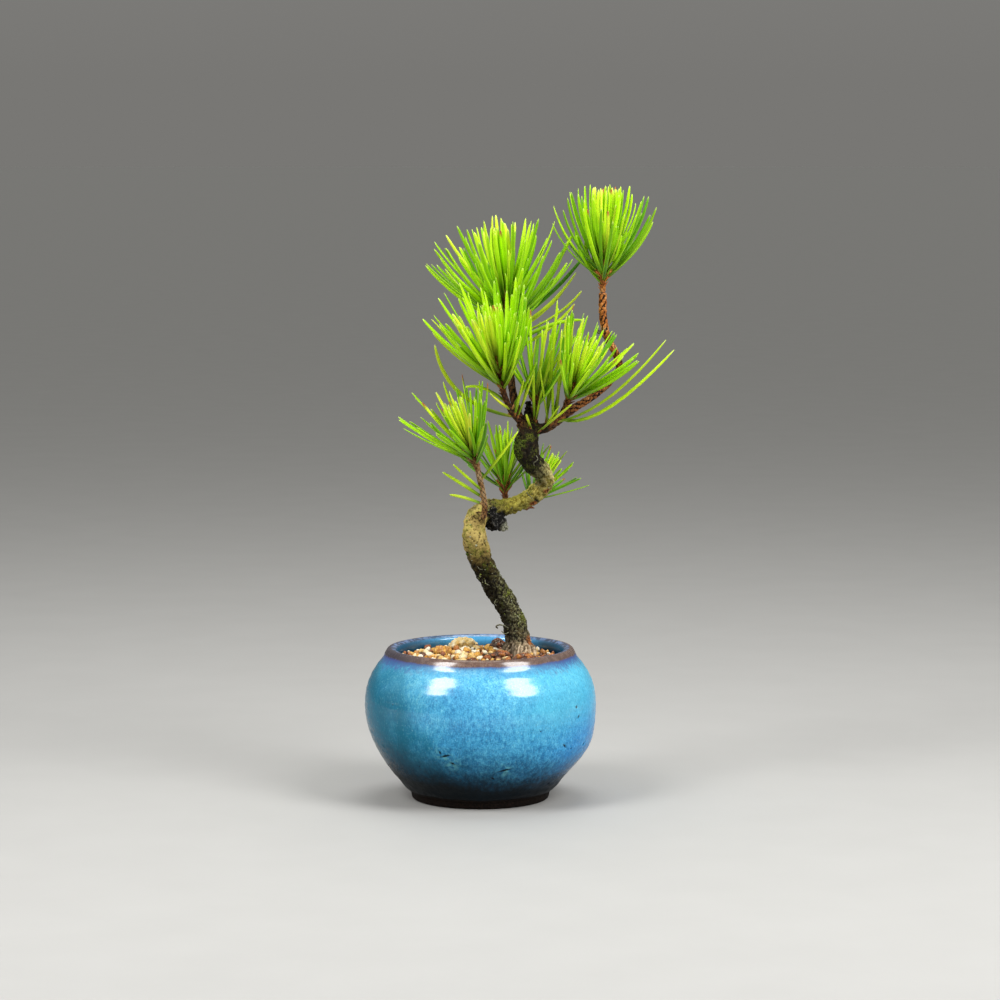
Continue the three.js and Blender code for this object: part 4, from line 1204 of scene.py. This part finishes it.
class Core:
    """A spray's stem, shoot and bud as points; across and over are square to the shoot."""

    def __init__(self, spray):
        before, end = [np.array(point[:3], float) for point in spray.branch[-2:]]
        onward = unit(end - before)
        self.foot = np.array(spray.stem[-1], float)
        self.axis = unit(np.array(spray.lean, float))
        self.across = unit(np.cross((0, 1, 0), self.axis))
        self.over = np.cross(self.axis, self.across)
        seat = [end + onward * length for length in (CLEARANCE, SEAT_STRAIGHT)]
        self.stem = [*seat, *[np.array(point, float) for point in spray.stem]]
        self.shoot = [self.up(spray.shoot / 2), self.up(spray.shoot)]
        self.tip = [self.up(spray.shoot + spray.bud)] if spray.bud else []
        self.points = [*self.stem, *self.shoot, *self.tip]

    def up(self, length):
        return self.foot + self.axis * length


def straights(line, radius):
    """A line of points as straight pieces, each a row of its start, its end and its radius."""
    return np.array([[*start, *end, radius] for start, end in zip(line, line[1:])])


def gaps_between(piece_row, others):
    """The least distances from one straight piece to each of the others, less both radii."""
    p1, q1 = piece_row[:3], piece_row[3:6]
    p2, q2 = others[:, :3], others[:, 3:6]
    d1, d2, between = q1 - p1, q2 - p2, p1 - p2
    a, e = d1 @ d1, (d2 * d2).sum(1)
    b, c, f = d2 @ d1, between @ d1, (d2 * between).sum(1)
    skew = a * e - b * b
    first = np.where(skew > 1e-9, np.clip((b * f - c * e) / np.maximum(skew, 1e-9), 0, 1), 0)
    t = np.clip((b * first + f) / e, 0, 1)
    s = np.clip((b * t - c) / a, 0, 1)
    apart = between + s[:, None] * d1 - t[:, None] * d2
    return np.linalg.norm(apart, axis=1) - piece_row[6] - others[:, 6]


def is_clear(rows, others):
    return not len(others) or all(gaps_between(row, others).min() > NEEDLE_APART for row in rows)


def past_root(line):
    root, middle, tip = line
    return straights([lerp(root, middle, ROOT_SHARE), middle, tip], NEEDLE_RADIUS)


def needle_line(core, spray, share, turn, splay, length):
    """A needle as root, middle and tip. share is how far up the shoot it grows."""
    side = core.across * math.cos(turn) + core.over * math.sin(turn)
    forward, sideways = math.cos(splay), math.sin(splay)
    root = core.up(share * spray.shoot)
    tip = root + core.axis * forward * length + side * sideways * length
    middle = lerp(root, tip, 0.5) + (side * forward - core.axis * sideways) * spray.bow * length
    return [root, middle, tip]


def all_needle_lines():
    """Every spray's needle lines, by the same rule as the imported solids: each entry is (line, share), with a
    share of None for a lone one."""
    cores = {spray.name: Core(spray) for spray in SPRAYS}
    wood_rows = np.array([
        [*one[:3], *other[:3], 1.12 * max(one[3], other[3])]
        for limb in [TRUNK, *TWIGS, *DEAD] for one, other in zip(limb, limb[1:])
    ])
    in_place = {name: straights(core.points, SHOOT_RADIUS) for name, core in cores.items()}
    made = {}
    for spray in SPRAYS:
        draw, name = draws_from(spray.seed), spray.name
        others = np.vstack([wood_rows, *[rows for owner, rows in in_place.items() if owner != name]])
        lines = []
        for start, end, bow in spray.lone:
            root, tip = np.array(start, float), np.array(end, float)
            lines.append(([root, lerp(root, tip, 0.5) + np.array(bow), tip], None))
        own = [past_root(line) for line, _ in lines]
        for i in range(spray.needles):
            share = (i + 0.5) / spray.needles
            jitter = [lerp(-1, 1, drawn) for drawn in (draw(), draw())]
            splay = lerp(spray.splay, INNER_SPLAY, share ** SPLAY_SPREAD) + jitter[0] * SPLAY_JITTER
            length = spray.length * (1 - TIP_SHORTENING * share ** 2) * (1 + jitter[1] * LENGTH_JITTER)
            for more_turn, more_splay in SIDESTEPS:
                turn = i * GOLDEN_ANGLE + math.radians(more_turn)
                tried = math.radians(max(splay + more_splay, 2))
                line = needle_line(cores[name], spray, share, turn, tried, length)
                beside = np.vstack(own) if own else np.empty((0, 7))
                if is_clear(straights(line, NEEDLE_RADIUS), others) and is_clear(past_root(line), beside):
                    lines.append((line, share))
                    own.append(past_root(line))
                    break
        rows = [straights(line, NEEDLE_RADIUS) for line, _ in lines]
        in_place[name] = np.vstack([in_place[name], *rows])
        made[name] = lines
    return cores, made


class TubeStamp(Stamp):
    """A closed straight tube, with the ring and the side that each of its vertices lies on."""

    def __init__(self, sides, rings):
        bm = bmesh.new()
        unit_tube(bm, sides, rings)
        super().__init__(bm)
        turns = np.arctan2(self.at[:, 1], self.at[:, 0]) % math.tau
        self.ring = np.rint((self.at[:, 2] + 0.5) * (rings - 1)).astype(int)
        self.side = np.rint(turns * sides / math.tau).astype(int) % sides


# A needle's half-round section, flat face down, and how far along it each ring lies
NEEDLE_SECTION = np.array([
    (0.5, 0), (0.4, 0.26), (0.15, 0.42), (-0.15, 0.42), (-0.4, 0.26), (-0.5, 0), (0, 0.06),
])
NEEDLE_RINGS = np.array([0, 0.04, 0.12, 0.22, 0.33, 0.44, 0.55, 0.66, 0.77, 0.86, 0.93, 0.975, 1.0])
NEEDLE_WIDTHS = np.array([0.55, 0.72, 0.87, 0.96, 1.0, 1.0, 0.99, 0.95, 0.88, 0.78, 0.66, 0.48, 0.14])
STRAIGHTENED = 0.35
LONE_WIDTH = 0.9
# The share of old needles at a shoot's foot, and of needles with a brown tip
OLD_NEEDLES = 0.14
BURNT_NEEDLES = 0.06
# Neighbours up the spiral that stand nearest beside a needle, and the widest fork a pair may have
PAIR_STEPS = (13, 8, 21, 5)
WIDEST_FORK = math.radians(24)
# Half the angle of the gap in a spray's front through which its bud shows
PARTING = math.radians(13)
PARTED = math.radians(40)
# How far a crowded needle turns towards its shoot
CROWDED = 0.5


def add_needle(bm, stamp, line, out, width, twist):
    """Adds one needle along a bowed line, its round back outwards."""
    ring = stamp.ring
    root, middle, tip = line
    pull = 2 * middle - lerp(root, tip, 0.5)
    t = NEEDLE_RINGS[:, None]
    centre = (1 - t) ** 2 * root + 2 * t * (1 - t) * pull + t ** 2 * tip + out * (0.1 * width)
    tangent = unit_rows(2 * (1 - t) * (pull - root) + 2 * t * (tip - pull))
    flat = unit_rows(out - tangent * (tangent @ out)[:, None])
    wide = np.cross(flat, tangent)
    angle = twist * t
    facing = flat * np.cos(angle) + wide * np.sin(angle)
    wide = wide * np.cos(angle) - flat * np.sin(angle)
    size = (NEEDLE_WIDTHS * width)[:, None]
    shape = NEEDLE_SECTION[stamp.side]
    stamp.set_into(
        bm, centre[ring] + wide[ring] * shape[:, :1] * size[ring] + facing[ring] * shape[:, 1:] * size[ring],
    )


def turned(line, centre, angle, about):
    """A needle's line turned about an axis through a centre."""
    spin = np.array(Matrix.Rotation(angle, 3, Vector(about)))
    return [centre + spin @ (point - centre) for point in line]


def combed(spray, core, lines):
    """The lines as they settle: lone ones as the spray gives them, the others parted at the front so that
    the bud shows unless the spray is closed, steeper on the side where the next spray stands, the lowest
    drooping, and none lower than the spray's own least rise."""
    made, lowest = [], math.radians(spray.rise)
    settled = iter(spray.settled)
    for line, share in lines:
        if share is None:
            line = [np.array(point, float) for point in next(settled, line)]
            made.append((line, share))
            continue
        reach = line[2] - line[0]
        if share < 0.75 and not spray.closed:
            turn = math.atan2(reach @ core.over, reach @ core.across) + math.pi / 2
            turn = (turn + math.pi) % math.tau - math.pi
            if abs(turn) < PARTED:
                more = math.copysign(lerp(PARTING, PARTED, abs(turn) / PARTED), turn) - turn
                line = turned(line, core.foot, more, core.axis)
                reach = line[2] - line[0]
        length = np.linalg.norm(reach)
        crowd = smooth(reach @ core.across / length * spray.crowded, 0.15, 0.75)
        steeper = CROWDED * crowd * Vector(reach).angle(Vector(core.axis))
        steeper -= math.radians(spray.droop) * smooth(share, 0.35, 0)
        line = turned(line, line[0], steeper, np.cross(reach, core.axis))
        reach = line[2] - line[0]
        rise = math.asin(reach[2] / length)
        if rise < lowest:
            line = turned(line, line[0], (lowest - rise) * 0.8, np.cross(reach, (0, 0, 1)))
        made.append((line, share))
    return made


# How far up the shoot a tuft's needles start
TUFT_START = 0.86


def tuft(spray, core):
    """Short fresh needles that stand close round the bud, as (lines, share)."""
    draw, made = draws_from(spray.seed + 700), []
    count, least = spray.tuft
    for i in range(count if spray.bud else 0):
        share = lerp(TUFT_START, 1, (i + 0.5) / count)
        length = spray.length * (least + 0.03 * draw()) - (share - TUFT_START) * spray.shoot
        splay = math.radians(lerp(3, 15, draw()))
        made.append(([needle_line(core, spray, share, i * GOLDEN_ANGLE + 1, splay, length)], share))
    return made


def filling(spray, core):
    """Shorter needles that fill the spray from the inside, as (line, share)."""
    draw, made = draws_from(spray.seed + 800), []
    for i in range(spray.needles // (2 if spray.closed else 3)):
        share, turn = 0.7 * draw(), i * GOLDEN_ANGLE + 2
        splay = math.radians(spray.splay * lerp(0.45, 0.95, draw()))
        length = spray.length * lerp(0.5, 0.82, draw())
        made.append((needle_line(core, spray, share, turn, splay, length), share))
    return made


def paired(spray, lines):
    """The needles in pairs that share a root, as (lines, share), each with a near neighbour up the shoot."""
    count = spray.needles
    ways = {round(share * count - 0.5): line for line, share in lines if share is not None}
    bundles = [([line], None) for line, share in lines if share is None]
    for i in sorted(ways):
        if i not in ways:
            continue
        line = ways.pop(i)
        chord = Vector(line[2] - line[0])
        for other in (ways.get(i + step) for step in PAIR_STEPS):
            if other is not None and chord.angle(Vector(other[2] - other[0])) < WIDEST_FORK:
                ways = {key: way for key, way in ways.items() if way is not other}
                root = lerp(line[0], other[0], 0.5)
                both = [[root, middle + (root - own) / 2, tip] for own, middle, tip in (line, other)]
                bundles.append((both, (i + 0.5) / count))
                break
        else:
            bundles.append(([line], (i + 0.5) / count))
    return bundles


def needles(spray, bundles, finish):
    """A spray's needles, each bundle told as its needles' lines and how far up the shoot it grows."""
    draw = draws_from(spray.seed + 500)
    stamp = TubeStamp(len(NEEDLE_SECTION), len(NEEDLE_RINGS))
    along = NEEDLE_RINGS[stamp.ring]
    edges = np.abs(NEEDLE_SECTION[stamp.side][:, 0]) * 2
    values = {name: [] for name in ("along", "edge", "tint", "age", "burnt")}
    bm = bmesh.new()
    for lines, share in bundles:
        lone = share is None
        old = lone or draw() < OLD_NEEDLES * (1 - share)
        common = spray.lime + 0.5 * ((0.75 if lone else share) ** 2 - 0.32) + lerp(-0.26, 0.26, draw())
        for line in lines:
            root, middle, tip = line
            chord = tip - root
            length = np.linalg.norm(chord)
            chord = chord / length
            beside = tip - (lines[-1] if line is lines[0] else lines[0])[2]
            if len(lines) == 1:
                beside = np.array((draw() - 0.5, draw() - 0.5, draw() - 0.5))
            square = unit(beside - chord * (beside @ chord))
            middle = lerp(middle, lerp(root, tip, 0.5), 0 if lone else STRAIGHTENED)
            sway = np.cross(chord, square) * lerp(-0.02, 0.02, draw()) + square * lerp(-0.012, 0.012, draw())
            tip = tip + chord * lerp(-2.4, 0.7, draw()) * (0.3 if not lone and share > TUFT_START else 1)
            width = spray.wide * lerp(0.92, 1.14, draw()) * (LONE_WIDTH if lone else 1)
            twist = lerp(-0.7, 0.7, draw())
            add_needle(bm, stamp, [root, middle + sway * length, tip], square, width, twist)
            lit = 0.5 + 0.5 * (chord[2] - 0.6 * chord[1]) / 1.2
            told = {
                "along": along, "edge": edges,
                "tint": clamped(common + 0.3 * (lit - 0.7) + lerp(-0.1, 0.1, draw())),
                "age": lerp(0.3, 0.8, draw()) if old else lerp(0, 0.14, draw()),
                "burnt": float(draw() < BURNT_NEEDLES),
            }
            for name, value in told.items():
                values[name].append(np.full(len(along), value))
    stamp.remove()
    values = {name: np.concatenate(parts) for name, parts in values.items()}
    piece("needles_" + spray.name, bm, finish, ["spray_" + spray.name], values)


SHEATH_SIDES = 6
SHEATH_RINGS = 3
BUD_SHADE = 0.45
# How deep the leaf bases of a shoot stand out, and how many scales it has for each millimetre
BASE_DEPTH = 0.24
SCALES_A_MM = 3.2


def scale_stamp():
    """A thin pointed scale that lies along +Y and curls away from its shoot, with +Z outwards."""
    bm = bmesh.new()
    bmesh.ops.create_grid(bm, x_segments=2, y_segments=3, size=0.5)
    for vert in bm.verts:
        along = vert.co.y + 0.5
        vert.co.x *= 1 - along ** 2.2 * 0.92
        vert.co.z = 0.16 * along ** 2 - 0.5 * vert.co.x ** 2
    bmesh.ops.solidify(bm, geom=bm.faces, thickness=0.09)
    bmesh.ops.recalc_face_normals(bm, faces=bm.faces)
    return Stamp(bm)


def add_scales(bm, line, first, count, draw):
    """Adds scales in a spiral up a line, from a first station on. Yields each one's station and flat shape."""
    stamp = scale_stamp()
    flat = stamp.at
    for i in range(count):
        station = round(lerp(first, line.count - 3, (i + 0.5) / count))
        out, up = line.out(station, i * GOLDEN_ANGLE), line.tangent[station]
        side = np.cross(up, out)
        size = lerp(1.9, 2.9, draw())
        lean = lerp(0.15, 0.5, draw())
        ahead = up * math.cos(lean) + out * math.sin(lean)
        away = out * math.cos(lean) - up * math.sin(lean)
        root = line.centre[station] + out * line.radius[station] * 0.9
        stamp.set_into(
            bm, root + side * flat[:, :1] * size * 0.55 + ahead * (flat[:, 1:2] + 0.5) * size
            + away * flat[:, 2:] * size * 0.8,
        )
        yield station, flat
    stamp.remove()


def add_sheaths(bm, bundles, draw):
    """Adds the ragged brown sheath round each bundle's root. Yields each one's rings."""
    stamp = TubeStamp(SHEATH_SIDES, SHEATH_RINGS)
    ring, angle = stamp.ring, stamp.side * math.tau / SHEATH_SIDES
    for lines, share in bundles:
        root, lone = lines[0][0], share is None
        chord = unit(sum(middle - start for start, middle, _ in lines))
        one = unit(np.cross(chord, (0.2, 1, 0.4)))
        other = np.cross(chord, one)
        length = lerp(3.4, 5.4, draw()) * (0.5 if lone else 1)
        reach = np.array([-0.6, length * 0.55, length])
        thin = 0.7 if lone else 0.85 if len(lines) == 1 else 1
        wide = np.array([0.62, 0.9, 0.8]) * lerp(0.9, 1.1, draw()) * thin
        ragged = np.where(ring == SHEATH_RINGS - 1, 0.6 * np.sin(stamp.side * 2.3 + draw() * 6), 0)
        along = (reach[ring] + ragged)[:, None]
        round_it = one * np.cos(angle)[:, None] + other * np.sin(angle)[:, None]
        stamp.set_into(bm, root + chord * along + round_it * wide[ring][:, None])
        yield ring
    stamp.remove()


def shoot(spray, core, bundles, finish):
    """A spray's stem, the scales on its shoot and bud, and the sheath round each bundle's root."""
    draw = draws_from(spray.seed + 900)
    points = [[*point, STEM_RADIUS - 0.15] for point in core.stem]
    points += [[*point, SHOOT_RADIUS - 0.1] for point in core.shoot]
    points += [[*point, BUD_TIP_RADIUS] for point in core.tip]
    line = Line(points, 0.35)
    bm, relief, shade = bmesh.new(), [], []

    def wall(i, turn):
        return line.radius[i] + BASE_DEPTH * (scale_relief(turn, line.run[i], 2.4) - 0.5)

    def darkness(i):
        return lerp(spray.shade, min(spray.shade, BUD_SHADE), smooth(i / line.count, 0.6, 0.9))

    for vert in add_tube(bm, line, 18, wall):
        gaps = np.linalg.norm(line.centre - np.array(vert.co), axis=1)
        i = int(gaps.argmin())
        relief.append(clamped((gaps[i] - line.radius[i]) / BASE_DEPTH + 0.5))
        shade.append(darkness(i))
    foot = np.linalg.norm(line.centre - core.foot, axis=1).argmin()
    count = round((spray.shoot + spray.bud) * SCALES_A_MM)
    for station, flat in add_scales(bm, line, foot - 6, count, draw):
        relief += list(0.25 + (flat[:, 1] + 0.5) * 0.75)
        shade += [clamped(darkness(station) + lerp(-0.3, 0.15, draw()))] * len(flat)
    for ring in add_sheaths(bm, bundles, draw):
        relief += list(0.35 + 0.25 * ring)
        shade += [clamped(spray.shade * 0.6 + lerp(-0.2, 0.3, draw()))] * len(ring)
    values = {"relief": relief, "shade": shade}
    piece("shoot_" + spray.name, bm, finish, ["spray_" + spray.name], values)


# The camera first
camera = in_scene("camera", bpy.data.cameras.new("camera"))
camera.location = TO_FRAME @ Vector(CAMERA_PLACE)
camera.rotation_euler = (math.radians(CAMERA_TILT), 0, 0)
camera.data.lens, camera.data.sensor_width = CAMERA_LENS, SENSOR
bpy.context.scene.camera = camera

# The object
grit_stone = grit_finish()
glazed_pot()
drain_net()
soil_ground()
grit_bed(grit_stone)
grit_grains(grit_stone)
for name, node, _, _, tint, lump in STONES:
    stone(name, node, tint, lump, grit_stone)
moss_and_lichen(wood())
cores, needle_lines = all_needle_lines()
needle_green = needle_finish()
shoot_brown, shoot_tan = shoot_finish("scaly_shoot", ORANGE_BARK), shoot_finish("tan_shoot", TAN_BARK)
for spray in SPRAYS:
    core = cores[spray.name]
    lines = combed(spray, core, needle_lines[spray.name])
    bundles = paired(spray, lines)
    bundles += [([line], share) for line, share in combed(spray, core, filling(spray, core))]
    if spray.name == "crown":
        ends = [[np.array(end, float) for end in line] for line in CROWN_NEEDLES]
        bundles += [([[root, lerp(root, tip, 0.5), tip]], None) for root, tip in ends]
    needles(spray, bundles + tuft(spray, core), needle_green)
    shoot(spray, core, bundles, shoot_tan if spray.name == "low_left" else shoot_brown)

# The floor and the light
ground = bmesh.new()
bmesh.ops.create_circle(ground, cap_ends=True, segments=96, radius=40)
floor_mesh = mesh_of(ground, "floor")
floor_mesh.materials.append(floor_finish())
floor = in_scene("floor", floor_mesh)

# Soft boxes: name, place, size, power
SOFT_BOXES = [
    ("box_left", (-455, -400, 640), 0.32, 4.2), ("box_right", (520, -400, 640), 0.4, 5.9),
    ("box_top", (40, 180, 950), 0.5, 3.4),
]
for name, place, size, power in SOFT_BOXES:
    light = bpy.data.lights.new(name, "AREA")
    light.shape, light.size, light.size_y, light.energy = "ELLIPSE", size, size * 1.4, power
    lamp = in_scene(name, light)
    lamp.location = TO_FRAME @ Vector(place)
    aim = TO_FRAME @ Vector((0, 0, 90)) - lamp.location
    lamp.rotation_euler = aim.to_track_quat("-Z", "Y").to_euler()

# The studio's walls: the floor's own grey at its edge, lighter overhead
world = bpy.data.worlds.new("studio")
bpy.context.scene.world = world
world.use_nodes = True
nodes, links = world.node_tree.nodes, world.node_tree.links
way = nodes.new("ShaderNodeTexCoord")
parts = nodes.new("ShaderNodeSeparateXYZ")
walls = nodes.new("ShaderNodeValToRGB")
walls.color_ramp.elements[0].position, walls.color_ramp.elements[0].color = 0.02, paint("787774")
walls.color_ramp.elements[1].position, walls.color_ramp.elements[1].color = 0.5, paint("A6A6A4")
links.new(way.outputs["Generated"], parts.inputs[0])
links.new(parts.outputs["Z"], walls.inputs[0])
links.new(walls.outputs[0], nodes["Background"].inputs["Color"])
nodes["Background"].inputs["Strength"].default_value = 1
